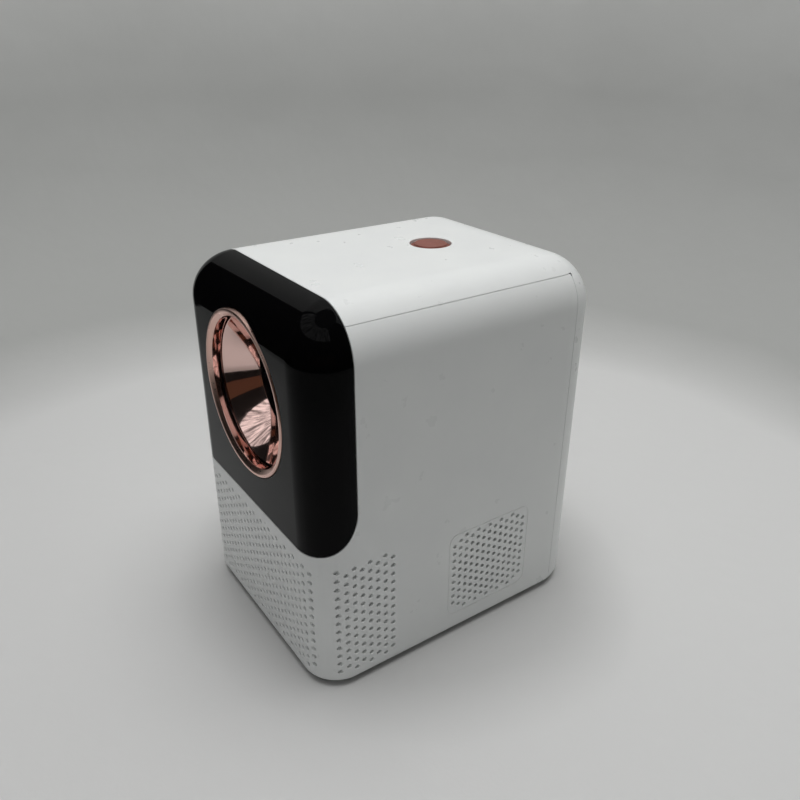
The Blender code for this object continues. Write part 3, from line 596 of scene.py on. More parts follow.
def side_holes(sign, centre, places, radius=HOLE_R, through=0.0):
    """A field of holes in one side. They go through nearer to its middle than the distance through."""
    bm = bmesh.new()
    for y, z in places:
        depth = THROUGH if math.hypot(y, z) < through else BLIND
        at = (centre[0] + y, centre[1] + z)
        drill(bm, "X", at, sign * side_surface(at[0]), -sign, radius, depth)
    return bm


def end_holes(centre_z, places, surface, inward, depth):
    """A field of holes in the front or the rear, drilled straight along Y."""
    bm = bmesh.new()
    for x, z in places:
        drill(bm, "Y", (x, centre_z + z), surface(x), inward, depth=depth)
    return bm


def hole_fields():
    """The shell's perforations: the grille in front, its return on both sides, and the side vents."""
    grille = columns(GRILLE_COLUMNS, GRILLE_PITCH, GRILLE_ROW, lambda i: 12 + i % 2)
    yield end_holes(GRILLE_Z, grille, front_surface, 1, BLIND)
    for sign in (1, -1):
        places = columns(RETURN_COLUMNS, RETURN_PITCH, GRILLE_ROW, lambda i: 13 - i % 2)
        yield side_holes(sign, RETURN_AT, places)
    for sign in (1, -1):
        places = columns(VENT_COLUMNS, VENT_PITCH, VENT_ROW, vent_rows)
        yield side_holes(sign, VENT_AT, places, VENT_HOLE_R, VENT_R)


def vent_rows(i):
    return 9 if i in (0, VENT_COLUMNS - 1) else 11 - i % 2


def rear_vent_holes():
    grid = columns(REAR_VENT_COLUMNS, VENT_PITCH, VENT_ROW, lambda i: 13 - i % 2)
    inside = [place for place in grid if math.hypot(*place) < REAR_VENT_R]
    return end_holes(REAR_VENT_Z, inside, lambda x: REAR, -1, THROUGH)


def vent_line(sign):
    """A fine line round the fan vent."""
    bm = line_cutter(VENT_LINE, VENT_LINE_R, VENT_AT, 0.35, 0.18, sign * SIDE, sign)
    return reorder(bm, ZXY)


def rear_vent_holes():
    bm = bmesh.new()
    for x, z in columns(REAR_VENT_COLUMNS, VENT_PITCH, VENT_ROW, lambda i: 13 - i % 2):
        if math.hypot(x, z) < REAR_VENT_R:
            drill(bm, "Y", (x, REAR_VENT_Z + z), REAR, -1)
    return bm


def make_band():
    """The gloss front band, with the round opening for the lens ring."""
    band = make("gloss_band", case_block(0, FLOOR))
    combine(band, band_zone(0), "INTERSECT")
    combine(band, case_block(WALL, RIM_TOP))
    combine(band, place(rod(RING_R + GAP, -10, 12, 128), (0, FRONT, AXIS_Z), "Y"))
    finish(band, "front_panel")


def make_shell():
    """The white main shell with its perforations and the slot of the focus wheel."""
    shell = make("main_shell", case_block(0, FLOOR))
    for cutter in (case_block(WALL, RIM_TOP), bottom_opening(), band_zone(BAND_GAP), cover_zone(SEAM_GAP)):
        combine(shell, cutter)
    wheel_low, wheel_high = box_mm("focus_wheel")
    play, half = WHEEL_SLOT
    slot_low = (-SIDE - PAST, wheel_low.y - play, AXIS_Z - half)
    combine(shell, box(slot_low, (-INNER_SIDE + 1, wheel_high.y + play, AXIS_Z + half)))
    soften_edges(shell, EDGE, EDGE_ANGLE)
    for cutter in hole_fields():
        combine(shell, cutter)
    for sign in (1, -1):
        combine(shell, vent_line(sign))
    level_normals(shell)
    fit(shell, "body_shell")


def make_cover():
    """The white top and rear cover, with the button's hole, the port window and the rear vent."""
    cover = make("top_and_rear_cover", case_block(0, FLOOR))
    combine(cover, cover_zone(0), "INTERSECT")
    for cutter in (case_block(WALL, RIM_TOP), bottom_opening(), band_zone(BAND_GAP)):
        combine(cover, cutter)
    _, _, button, _ = round_box("power_button")
    combine(cover, place(rod(BUTTON_R + GAP, TOP - 8, TOP + PAST, 96), (0, button.y, 0)))
    port_low, port_high = box_mm("port_plate")
    low = (port_low.x - GAP, REAR - PAST, port_low.z - GAP)
    combine(cover, box(low, (port_high.x + GAP, REAR + PAST, port_high.z + GAP)))
    soften_edges(cover, EDGE, EDGE_ANGLE)
    combine(cover, rear_vent_holes())
    level_normals(cover)
    fit(cover, "top_rear_cover")


# ---------------------------------------------------------------- lens


def make_ring():
    """The bezel ring: a satin face that slopes inwards, and a bright inner step."""
    start, end = RING_FLANGE
    profile = [
        (RING_INNER_R, 1.0),
        (RING_R - 1.4, RING_FRONT),
        (RING_R - 0.4, RING_FRONT),
        (RING_R, RING_FRONT + 0.4),
        (RING_R, start),
        (FLANGE_R, start),
        (FLANGE_R, end),
        (RING_INNER_R, end),
    ]
    ring = make("bezel_ring", turned(soften(profile, 0.22)), (0, FRONT, AXIS_Z), "Y")
    fit(ring, "lens_ring")
    ring.data.materials.append(LOOKS["rose_gold_mirror"])
    inner = (RING_INNER_R + 0.02) * MM
    for face in ring.data.polygons:
        if math.hypot(face.center.x, face.center.z - AXIS_Z * MM) < inner:
            face.material_index = 1


def make_cone():
    """The polished cone that runs from the ring back to the lens."""
    start, end = CONE_FLANGE
    profile = [
        (CONE_MOUTH_R, CONE_START),
        (CONE_THROAT_R, CONE_END),
        (CONE_THROAT_R + 1.3, CONE_END),
        (CONE_BACK_R, end),
        (FLANGE_R, end),
        (FLANGE_R, start),
        (CONE_MOUTH_R + 0.3, start),
        (CONE_MOUTH_R + 0.3, CONE_START),
    ]
    cone = make("polished_cone", turned(soften(profile, 0.12)), (0, FRONT, AXIS_Z), "Y")
    fit(cone, "lens_cone")


def lens_profile(front, rear, front_sag, rear_sag, radius):
    """A lens section with two curved faces and a ground edge."""
    shares = [i / LENS_STEPS for i in range(LENS_STEPS + 1)]
    points = [(radius * share, front + front_sag * share**2) for share in shares]
    return points + [(radius * share, rear - rear_sag * share**2) for share in reversed(shares)]


def make_barrel():
    """The sliding barrel with fine baffle grooves inside, and its two lens groups."""
    low, high = box_mm("lens_barrel")
    outer, inner = high.x, high.x - BARREL_WALL
    profile = [(outer, low.y), (outer, high.y), (inner, high.y)]
    for i in range(int((high.y - low.y - 2) / BAFFLE_PITCH)):
        level = high.y - 1 - i * BAFFLE_PITCH
        profile += [(inner, level), (inner + BAFFLE_DEPTH, level - BAFFLE_PITCH / 2)]
    profile.append((inner, low.y))
    barrel = make("grooved_barrel", turned(profile, 96), (0, 0, AXIS_Z), "Y", sharp=25)
    fit(barrel, "lens_barrel")
    for end, sags in (("front", (3.5, 2.5)), ("rear", (3.0, 4.0))):
        low, high = box_mm(f"{end}_lens")
        profile = lens_profile(low.y, high.y, *sags, high.x)
        fit(make(f"{end}_group", turned(profile, 96), (0, 0, AXIS_Z), "Y"), f"{end}_lens")


# ---------------------------------------------------------------- button


def make_button():
    """The power button: a slightly dished cap with a lower rim, on its stem."""
    low, high, centre, _ = round_box("power_button")
    profile = [
        (0, TOP - 0.12),
        (6.3, TOP - 0.05),
        (7.1, TOP),
        (7.6, TOP - 1.1),
        (BUTTON_R, TOP - 1.3),
        (BUTTON_R, BUTTON_UNDERSIDE),
        (high.x, BUTTON_UNDERSIDE),
        (high.x, BUTTON_COLLAR_END),
        (BUTTON_STEM_R, BUTTON_COLLAR_END),
        (BUTTON_STEM_R, low.z),
        (0, low.z),
    ]
    button = make("button_cap", turned(soften(profile, 0.15, closed=False)), (0, centre.y, 0))
    fit(button, "power_button", "button_satin")


# ---------------------------------------------------------------- base


def make_feet():
    """Round rubber feet, hollowed below and with a turned edge."""
    for end in ("front", "rear"):
        for side in ("left", "right"):
            node = f"foot_{end}_{side}"
            _, high, centre, radius = round_box(node)
            profile = [(0, FOOT_HOLLOW), (radius - 2.2, FOOT_HOLLOW), (radius - 2.0, 0), (radius - 0.7, 0)]
            profile += [(radius, 0.6), (radius, high.z), (0, high.z)]
            stand_in(node, turned(soften(profile, 0.25, closed=False), 64), (centre.x, centre.y, 0))


def make_base_plate():
    """The base plate: a rim line, two fields of intake slots, and wells for the screws."""
    low, high = box_mm("base_plate")
    plate = make("fine_base_plate", stack([case_ring(0, 0, level, RIM + GAP) for level in (low.z, high.z)]))
    _, _, insert, _ = round_box("tripod_insert")
    combine(plate, place(rod(INSERT_R + GAP, 0, 8), (insert.x, insert.y, 0)))
    wells = bmesh.new()
    for number in SCREWS:
        _, _, centre, _ = round_box(f"base_screw_{number}")
        prism_into(wells, circle(SCREW_WELL_R, 32, (centre.x, centre.y)), 0, 8)
    combine(plate, wells)
    slots = bmesh.new()
    for row in range(INTAKE_ROWS):
        y = INTAKE_PLACE[1] + (row - (INTAKE_ROWS - 1) / 2) * INTAKE_PITCH
        for x in (-INTAKE_PLACE[0], INTAKE_PLACE[0]):
            outline = rounded_rectangle(*INTAKE_SLOT, INTAKE_SLOT[1] - 0.05, 5, (x, y))
            prism_into(slots, outline, 0, low.z + INTAKE_DEPTH)
    combine(plate, slots)
    combine(plate, stack([case_ring(0, 0, z, extra) for extra, z in BASE_LINE], cyclic=True))
    finish(plate, "base_plate", 0.15)


def thread(inner, outer, low, high, pitch):
    """The saw-tooth edge of a turned thread, from low to high."""
    count = int((high - low) / pitch)
    points = []
    for turn in range(count):
        start = low + turn * pitch
        points += [(inner, start), (outer, start + pitch / 2)]
    return [*points, (inner, low + count * pitch)]


def make_screws():
    """Pan-head screws with a cross recess and a cut thread."""
    for number in SCREWS:
        node = f"base_screw_{number}"
        low, high, centre, radius = round_box(node)
        head, shank, tip = low.z, SCREW_SHANK_START, high.z
        profile = [(0, head), (radius * 0.5, head), (radius * 0.88, head + 0.35), (radius, head + 0.9)]
        profile += [(radius, shank), (1.0, shank)]
        profile += thread(0.88, 1.1, shank + 0.3, tip - 1.0, 0.5)
        profile += [(0.6, tip - 0.3), (0, tip)]
        screw = make(f"fine_{node}", turned(profile, 40), (centre.x, centre.y, 0))
        cross = bmesh.new()
        for arm in CROSS_ARMS:
            prism_into(cross, rectangle(centre, *arm), head - 1, head + 1.0)
        combine(screw, cross, crossing=True)
        fit(screw, node)


def make_insert():
    """The brass tripod bush: a threaded bore and a wider flange inside."""
    low, high, centre, flange = round_box("tripod_insert")
    shoulder, mouth = high.z - 1.4, INSERT_BORE_R + 0.4
    inside = thread(INSERT_BORE_R, INSERT_BORE_R + 0.35, low.z + 0.5, high.z - 0.6, 0.9)
    profile = [(mouth, low.z), *inside, (mouth, high.z), (flange - 0.3, high.z), (flange, high.z - 0.3)]
    profile += [(flange, shoulder), (INSERT_R, shoulder), (INSERT_R, low.z + 0.3), (INSERT_R - 0.3, low.z)]
    stand_in("tripod_insert", turned(profile[::-1], 72), (centre.x, centre.y, 0))


# ---------------------------------------------------------------- focus drive


def gear_outline(teeth):
    """Trapezoid teeth with rounded tips, one of them centred on local +X."""
    points = []
    for tooth in range(teeth):
        for share, rise in TOOTH:
            angle = (tooth + share) * 2 * math.pi / teeth
            radius = GEAR_MODULE * (teeth / 2 + rise)
            points.append((radius * math.cos(angle), radius * math.sin(angle)))
    return soften(points, 0.3)


def make_gear(node, x, teeth, bore, web):
    """A toothed wheel with a web sunk into both faces. web holds its inner and outer radius."""
    low, high = box_mm(node)
    at = (x, 0, AXIS_Z)
    gear = make(f"fine_{node}", prism(gear_outline(teeth), low.y, high.y), at, "Y")
    combine(gear, place(rod(bore, low.y - 2, high.y + 2), at, "Y"))
    inner, outer = web
    for start, end in ((low.y - 1, low.y + WEB_DEPTH), (high.y - WEB_DEPTH, high.y + 1)):
        recess = turned([(inner, start), (outer, start), (outer, end), (inner, end)], 72)
        combine(gear, place(recess, at, "Y"))
    finish(gear, node, 0.2, 40)


def make_lens_mount():
    """The guide tube that the focus ring turns on, with a lip, a rib and a rear flange."""
    low, high = box_mm("lens_mount")
    gear_low, gear_high = box_mm("focus_ring")
    rib = gear_high.y + GAP
    profile = [
        (MOUNT_BORE_R, low.y),
        (MOUNT_LIP_R, gear_low.y - 1.6),
        (MOUNT_LIP_R, gear_low.y - 0.4),
        (MOUNT_R, gear_low.y - 0.4),
        (MOUNT_R, rib),
        (MOUNT_RIB_R, rib),
        (MOUNT_RIB_R, gear_high.y + 2.5),
        (MOUNT_R, gear_high.y + 2.5),
        (MOUNT_R, high.y - 2.2),
        (high.x, high.y - 2.2),
        (high.x, high.y),
        (MOUNT_BORE_R, high.y),
    ]
    stand_in("lens_mount", turned(soften(profile, 0.15), 96), (0, 0, AXIS_Z), "Y")


# ---------------------------------------------------------------- ports


def port_box(node):
    """Middle (x, z) and half sizes of a socket, with its front and rear depth."""
    low, high = box_mm(node)
    middle = ((low.x + high.x) / 2, (low.z + high.z) / 2)
    return middle, (high.x - low.x) / 2, (high.z - low.z) / 2, low.y, high.y


def bent_shell(node, outline, middle, low, high):
    """A folded metal socket shell: a tube of this outline, closed at its front end."""
    shell = make(f"fine_{node}", rear_prism(outline, middle, low, high))
    inner = [(x - math.copysign(SHELL_SHEET, x), z - math.copysign(SHELL_SHEET, z)) for x, z in outline]
    combine(shell, rear_prism(inner, middle, low + SOCKET_WALL, high + 1))
    finish(shell, node, 0.12, 40, level=False)


def contacts(name, middle, places, size, low, high):
    """Gold-coloured contact strips on a socket's tongue."""
    bm = bmesh.new()
    for x, z in places:
        prism_into(bm, rectangle((middle[0] + x, middle[1] + z), *size), low, high)
    add(name, reorder(bm, XZY), "insert_brass")


def make_port_plate():
    """The dark plate in the rear cover: a window round each socket, and a sunk line round them all."""
    middle, half_x, half_z, low, high = port_box("port_plate")
    plate = make("fine_port_plate", box(*box_mm("port_plate")))
    for node in ("mains_inlet", "hdmi_socket", "usb_socket", "av_jack"):
        place_of, x, z, _, _ = port_box(node)
        combine(plate, rear_prism(rounded_rectangle(x + GAP, z + GAP, 0.4), place_of, low - 3, high + 3))
    _, _, eye, _ = round_box("receiver_window")
    combine(plate, place(rod(EYE_HOLE_R, low - 3, high + 3), (eye.x, 0, eye.z), "Y"))
    inset, width, depth = PLATE_LINE
    line = line_cutter((half_x - inset, half_z - inset), 2, middle, width, depth, high, 1)
    combine(plate, reorder(line, XZY))
    finish(plate, "port_plate", 0.12, 40)


def make_inlet():
    """The mains inlet, with a figure-of-eight recess and two pins."""
    middle, half_x, half_z, low, high = port_box("mains_inlet")
    inlet = make("fine_mains_inlet", rear_prism(rounded_rectangle(half_x, half_z, 1.0), middle, low, high))
    left, right = (-PIN_SHIFT, 0), (PIN_SHIFT, 0)
    figure = arc(right, RECESS_R, -60, 60, 16) + arc(right, RECESS_R, 60, 130, 8)[1:]
    figure += arc(left, RECESS_R, 50, 310, 30) + arc(right, RECESS_R, 230, 300, 8)[:-1]
    combine(inlet, rear_prism(figure, middle, INLET_FLOOR, high + 2))
    finish(inlet, "mains_inlet", 0.25, 40, level=False)
    profile = [(0, INLET_FLOOR), (PIN_R, INLET_FLOOR), (PIN_R, PIN_END - 0.8), (0.6, PIN_END), (0, PIN_END)]
    for side, shift in (("left", -PIN_SHIFT), ("right", PIN_SHIFT)):
        at = (middle[0] + shift, 0, middle[1])
        add(f"inlet_pin_{side}", turned(profile, 32), "plated_steel", at, "Y")


def make_hdmi():
    middle, half_x, half_z, low, high = port_box("hdmi_socket")
    slope_x, slope_z = half_x - 1.8, 1.7 - half_z
    outline = [(-slope_x, -half_z), (slope_x, -half_z), (half_x, slope_z), (half_x, half_z)]
    outline = soften([*outline, (-half_x, half_z), (-half_x, slope_z)], 0.4)
    bent_shell("hdmi_socket", outline, middle, low, high)
    tongue = rear_prism(rounded_rectangle(5.6, 0.55, 0.2), middle, low + SOCKET_WALL, 73.5)
    add("hdmi_tongue", tongue, "black_plastic")
    places = [((i - 4.5) * 1.05, z) for i in range(10) for z in (-0.57, 0.57)]
    contacts("hdmi_contacts", middle, places, (0.22, 0.05), low + 3, 73.2)


def make_usb():
    middle, half_x, half_z, low, high = port_box("usb_socket")
    bent_shell("usb_socket", rounded_rectangle(half_x, half_z, 0.5), middle, low, high)
    tongue_at = (middle[0], middle[1] - 0.9)
    tongue = rear_prism(rounded_rectangle(5.6, 0.85, 0.25), tongue_at, low + SOCKET_WALL, 73.2)
    add("usb_tongue", tongue, "black_plastic")
    places = [(x, -0.02) for x in (-3.5, -1.2, 1.2, 3.5)]
    contacts("usb_contacts", middle, places, (0.5, 0.06), low + 3, 72.4)


def make_jack():
    """The round AV jack with a metal collar in its mouth."""
    middle, half_x, half_z, low, high = port_box("av_jack")
    jack = make("fine_av_jack", rear_prism(rounded_rectangle(half_x, half_z, 0.6), middle, low, high))
    at = (middle[0], 0, middle[1])
    combine(jack, place(rod(3.3, high - 0.5, high + 1), at, "Y"))
    combine(jack, place(rod(JACK_R, low + 1.5, high + 1), at, "Y"))
    finish(jack, "av_jack", 0.15, 40, level=False)
    inner, outer, start, end = JACK_R + 0.05, 2.9, high - 1.2, high - 0.15
    collar = turned([(inner, start), (outer, start), (outer, end), (inner, end)], 48)
    add("jack_collar", collar, "plated_steel", at, "Y")


def make_eye():
    """The receiver's window, a low dome."""
    low, high, centre, radius = round_box("receiver_window")
    foot = high.y - EYE_DOME
    profile = [(0, low.y), (radius, low.y), (radius, foot), *crown(radius, foot, EYE_DOME, 8)]
    stand_in("receiver_window", turned(profile, 64), (centre.x, 0, centre.z), "Y")


# ---------------------------------------------------------------- fans and loudspeakers


def blade_into(bm, tip_r, low, high, start):
    """Adds one swept, twisted fan blade as a closed solid."""
    steps, rows = 10, 8
    root_r = HUB_R - 0.6
    loops = []
    for row in range(rows + 1):
        out = row / rows
        radius = root_r + (tip_r - root_r) * out
        width = 36 - 6 * out
        rise = (high - low) * (0.95 - 0.25 * out)
        base = low + (high - low - rise) / 2
        loop = []
        for side in (1, -1):
            for step in range(steps + 1):
                along = step / steps if side > 0 else 1 - step / steps
                angle = math.radians(start + BLADE_SWEEP * out + width * along)
                camber = 0.5 * math.sin(math.pi * along)
                half = 0.42 * math.sin(math.pi * min(max(along, 0.06), 0.94)) ** 0.5
                height = min(max(base + rise * along + camber + side * half, low), high)
                loop.append((radius * math.cos(angle), radius * math.sin(angle), height))
        loops.append(loop)
    stack_into(bm, loops)


def make_fan(name, axis):
    """A square axial fan with swept blades and a holder with four struts."""
    frame_low, frame_high = box_mm(f"{name}_frame")
    rotor_low, rotor_high = box_mm(f"{name}_rotor")
    along = 0 if axis == "X" else 1
    across = 2 if axis == "X" else 0
    half = (frame_high[across] - frame_low[across]) / 2
    tip = (rotor_high[across] - rotor_low[across]) / 2
    at = (frame_low + frame_high) / 2
    at[along] = frame_low[along]
    depth = frame_high[along] - frame_low[along]
    make_fan_frame(f"{name}_frame", half, tip, depth, at, axis)
    low, high = rotor_low[along] - at[along], rotor_high[along] - at[along]
    dip = high - 0.3
    cap = [(0, low), (HUB_R, low), (HUB_R, high), (6.0, high), (5.6, dip), (0, dip)]
    rotor = turned(soften(cap, 0.4, False))
    for blade in range(BLADES):
        blade_into(rotor, tip - 0.1, low + 0.2, high - 0.2, blade * 360 / BLADES)
    stand_in(f"{name}_rotor", rotor, at, axis, 40)


def make_fan_frame(node, half, tip, depth, at, axis):
    """A fan's frame: a round duct, a hub holder on four struts, and four screw holes."""
    duct = make(f"fine_{node}", prism(rounded_rectangle(half, half, 3), 0, depth), at, axis)
    combine(duct, place(rod(tip + TIP_PLAY, HOLDER, depth + 1, 96), at, axis))
    windows = bmesh.new()
    for start in range(0, 360, 90):
        outline = arc((0, 0), tip + 0.2, start + 5, start + 85, 20)
        outline += arc((0, 0), HUB_HOLDER_R, start + 78, start + 12, 10)
        prism_into(windows, outline, -1, HOLDER + 1)
    combine(duct, place(windows, at, axis))
    holes = bmesh.new()
    for centre in rectangle((0, 0), half - 3.2, half - 3.2):
        prism_into(holes, circle(FAN_SCREW_R, 24, centre), -1, depth + 1)
    combine(duct, place(holes, at, axis))
    finish(duct, node, 0.2, 40, level=False)


def make_speaker(side):
    """A small driver: a coated basket, a paper cone with a rolled edge, and a domed cap."""
    low, _, centre, _ = round_box(f"speaker_frame_{side}")
    at = (centre.x, low.y, centre.z)
    basket = turned(soften(BASKET_OUTSIDE + BASKET_INSIDE, 0.35, False), 96)
    stand_in(f"speaker_frame_{side}", basket, at, "Y")
    roll = [(14.2 + 2.3 * s / 8, 1.9 - 0.95 * math.sin(math.pi * s / 8)) for s in range(8, -1, -1)]
    dome = [(5.0 * math.cos(a), 6.5 - 2.2 * math.sin(a)) for a in (math.radians(15 * i) for i in range(6))]
    profile = [*CONE_REAR, *roll, *CONE_SLOPE, *dome, (0, 4.3)]
    stand_in(f"speaker_cone_{side}", turned(profile, 96), at, "Y")


# ---------------------------------------------------------------- optics and electronics


def make_condenser():
    """The aspheric condenser over the lamp."""
    low, high, centre, radius = round_box("condenser_lens")
    foot = low.z + 1.5
    profile = [(0, low.z), (radius - 0.2, low.z), (radius, low.z + 0.2), (radius, foot)]
    profile += crown(radius, foot, high.z - foot, 16)
    stand_in("condenser_lens", turned(profile, 96), (centre.x, centre.y, 0))


def make_capacitor():
    """The filter capacitor: a crimped can with a scored end."""
    low, high, centre, radius = round_box("filter_capacitor")
    length = high.y - low.y
    profile = [(0, 0), (radius - 0.8, 0), (radius, 0.8), (radius, 2.4), (radius - 0.5, 2.9), (radius, 3.4)]
    score = length - 0.3
    profile += [(radius, length - 0.6), (radius - 0.6, length), (radius - 1.2, score), (0, score)]
    can = turned(soften(profile, 0.2, False), 64)
    stand_in("filter_capacitor", can, (centre.x, low.y, centre.z), "Y")


def make_transformer():
    """The mains transformer: a taped winding between the halves of a dark core."""
    low, high = box_mm("transformer")
    third = (high.z - low.z) * CORE_SHARE
    inset = Vector((2.2, 1.6, 0))
    lift = Vector((0, 0, third * 0.6))
    stand_in("transformer", box(low + inset + lift, high - inset - lift, 1.6))
    core = bmesh.new()
    middle = ((low.x + high.x) / 2, (low.y + high.y) / 2)
    outline = rounded_rectangle((high.x - low.x) / 2, (high.y - low.y) / 2, 1.0, 4, middle)
    for start, end in ((low.z, low.z + third), (high.z - third, high.z)):
        prism_into(core, outline, start, end)
    add("transformer_core", core, "charcoal_plastic")


def chips_into(bm, places, face, rise):
    """Adds chips on a board's face, standing off it by rise, which is negative towards the front."""
    for x, z, half_x, half_z in places:
        near, far = sorted((face, face + rise))
        chip = box((x - half_x, near, z - half_z), (x + half_x, far, z + half_z), 0.15, 1)
        mesh = bpy.data.meshes.new("chip")
        chip.to_mesh(mesh)
        chip.free()
        bm.from_mesh(mesh)
        bpy.data.meshes.remove(mesh)


def make_chips():
    """Chips on the light engine's side of the main board and on the power board."""
    bm = bmesh.new()
    chips_into(bm, MAIN_CHIPS, box_mm("main_board")[0].y, -1.2)
    chips_into(bm, POWER_CHIPS, box_mm("power_board")[1].y, 1.4)
    add("board_chips", bm, "black_plastic")


# ---------------------------------------------------------------- materials


class Look:
    """A Principled material with its few texture nodes. Texture sizes are in millimetres."""

    def __init__(self, name, colour, roughness, metallic=0.0, **values):
        self.material = LOOKS[name] = bpy.data.materials.new(name)
        self.material.use_nodes = True
        self.tree = self.material.node_tree
        self.shader = self.tree.nodes["Principled BSDF"]
        self.colour = (*colour, 1)
        self.set("Base Color", self.colour)
        self.set("Roughness", roughness)
        self.set("Metallic", metallic)
        for socket, value in values.items():
            self.set(socket.replace("_", " "), value)
        self.place = self.tree.nodes.new("ShaderNodeTexCoord").outputs["Object"]
        self.normal = None

    def set(self, socket, value):
        self.shader.inputs[socket].default_value = value

    def feed(self, value, socket):
        self.tree.links.new(value, self.shader.inputs[socket])

    def node(self, kind, inputs=(), **settings):
        made = self.tree.nodes.new(kind)
        for name, value in settings.items():
            setattr(made, name, value)
        for name, value in dict(inputs).items():
            if isinstance(value, bpy.types.NodeSocket):
                self.tree.links.new(value, made.inputs[name])
            else:
                made.inputs[name].default_value = value
        return made

    def stretched(self, sizes):
        """Object coordinates scaled so that a texture's grain has these sizes along X, Y and Z."""
        scale = tuple(1 / (size * MM) for size in sizes)
        return self.node("ShaderNodeMapping", {"Vector": self.place, "Scale": scale}).outputs["Vector"]

    def noise(self, size, detail=2.0, rough=0.5):
        sizes = size if isinstance(size, tuple) else (size,) * 3
        inputs = {"Vector": self.stretched(sizes), "Scale": 1.0, "Detail": detail, "Roughness": rough}
        return self.node("ShaderNodeTexNoise", inputs).outputs["Fac"]

    def spread(self, value, low, high, out_low, out_high):
        inputs = {"Value": value, "From Min": low, "From Max": high, "To Min": out_low, "To Max": out_high}
        return self.node("ShaderNodeMapRange", inputs).outputs["Result"]

    def vary_colour(self, value, other, low=0.35, high=0.65):
        """Blends towards another colour where the texture is high."""
        inputs = {0: self.spread(value, low, high, 0, 1), 6: self.colour, 7: (*other, 1)}
        self.feed(self.node("ShaderNodeMix", inputs, data_type="RGBA").outputs[2], "Base Color")

    def vary_roughness(self, value, low, high):
        self.feed(self.spread(value, 0.3, 0.7, low, high), "Roughness")

    def bump(self, value, height):
        """Raises the surface by a texture, with its full height in millimetres."""
        bump = self.node("ShaderNodeBump", {"Height": value, "Distance": height * MM})
        if self.normal:
            self.tree.links.new(self.normal, bump.inputs["Normal"])
        self.normal = bump.outputs["Normal"]
        self.feed(self.normal, "Normal")


def grained(name, colour, roughness, metallic=0.0, bumps=(), rough=None, tone=None, **values):
    """A material with noise in it. bumps are (noise, height), rough is (noise, lowest, highest) and tone is
    (noise, other colour), where noise holds its grain size and its detail."""
    look = Look(name, colour, roughness, metallic, **values)
    for noise, height in bumps:
        look.bump(look.noise(*noise), height)
    if rough:
        noise, low, high = rough
        look.vary_roughness(look.noise(*noise), low, high)
    if tone:
        noise, other = tone
        look.vary_colour(look.noise(*noise), other)


def moulded(name, colour, roughness, grain=0.3, height=0.006):
    """A moulded plastic with a fine texture."""
    rough = ((5, 3), roughness - 0.06, roughness + 0.06)
    tone = ((14, 3), tuple(c * 1.25 for c in colour))
    grained(name, colour, roughness, 0.0, [((grain, 3), height)], rough, tone)


def metal(name, colour, roughness, sizes):
    """A metal with streaks along its longest texture size."""
    rough = ((sizes, 3), roughness - 0.07, roughness + 0.07)
    tone = ((8, 3), tuple(c * 0.88 for c in colour))
    grained(name, colour, roughness, 1.0, [((sizes, 3), 0.004)], rough, tone)


def make_case_looks():
    """The looks that the eye meets first."""
    white_bumps = [((0.35, 3), 0.004), ((60, 1), 0.05)]
    white_tone = ((35, 3), (0.775, 0.79, 0.785))
    white_rough = ((9, 4), 0.27, 0.34)
    grained("white_plastic", (0.80, 0.815, 0.805), 0.3, 0.0, white_bumps, white_rough, white_tone, IOR=1.5)
    gloss_rough = (((6, 6, 14), 5, 0.6), 0.035, 0.075)
    grained("black_gloss", (0.0015, 0.0015, 0.0017), 0.05, 0.0, [((25, 2), 0.006)], gloss_rough, IOR=1.15)
    satin_tone = ((12, 3), (0.78, 0.52, 0.45))
    satin_rough = ((1.5, 4), 0.26, 0.36)
    grained("rose_gold_satin", (0.74, 0.48, 0.41), 0.3, 1.0, [((0.12, 2), 0.004)], satin_rough, satin_tone)
    mirror_bumps = [(((3.5, 9, 3.5), 2), 0.012)]
    grained("rose_gold_mirror", (0.82, 0.58, 0.53), 0.06, 1.0, mirror_bumps, ((4, 4), 0.04, 0.09))
    button_tone = ((6, 3), (0.37, 0.13, 0.1))
    button_rough = ((2, 3), 0.38, 0.46)
    grained("button_satin", (0.33, 0.115, 0.085), 0.42, 0.5, [((0.15, 2), 0.006)], button_rough, button_tone)
    foot_tone = ((3, 5), (0.05, 0.05, 0.05))
    grained("foot_rubber", (0.025, 0.025, 0.026), 0.8, 0.0, [((0.25, 4), 0.02)], tone=foot_tone)
    glass_rough = ((12, 3), 0.005, 0.02)
    grained("lens_glass", (0.86, 0.93, 0.97), 0.01, rough=glass_rough, IOR=1.6, Transmission_Weight=1.0)


def make_inner_looks():
    """The looks inside the case, seen through the vents and the lens or not at all."""
    moulded("charcoal_plastic", (0.045, 0.045, 0.05), 0.55)
    moulded("black_plastic", (0.018, 0.018, 0.02), 0.45)
    moulded("grey_nylon", (0.11, 0.11, 0.12), 0.5)
    moulded("winding_tape", (0.72, 0.55, 0.08), 0.35, 1.5, 0.03)
    metal("plated_steel", (0.62, 0.62, 0.61), 0.28, (0.3, 4, 0.3))
    metal("insert_brass", (0.75, 0.56, 0.24), 0.33, (2, 2, 0.15))
    metal("sink_aluminium", (0.72, 0.72, 0.74), 0.38, (8, 0.2, 0.2))
    metal("reflector_chrome", (0.9, 0.9, 0.91), 0.12, (5, 5, 5))
    metal("mirror_glass", (0.93, 0.94, 0.95), 0.08, (30, 30, 30))
    phosphor_tone = ((0.5, 4), (0.95, 0.82, 0.2))
    grained("lamp_phosphor", (0.9, 0.72, 0.08), 0.5, 0.0, [((0.15, 3), 0.02)], tone=phosphor_tone)
    paper_tone = ((2, 5), (0.06, 0.06, 0.062))
    grained("cone_paper", (0.03, 0.03, 0.032), 0.75, 0.0, [(((0.2, 0.2, 1.2), 4), 0.03)], tone=paper_tone)
    make_clear_sheet()
    make_display_glass()
    make_board_laminate()
    make_filter_foam()


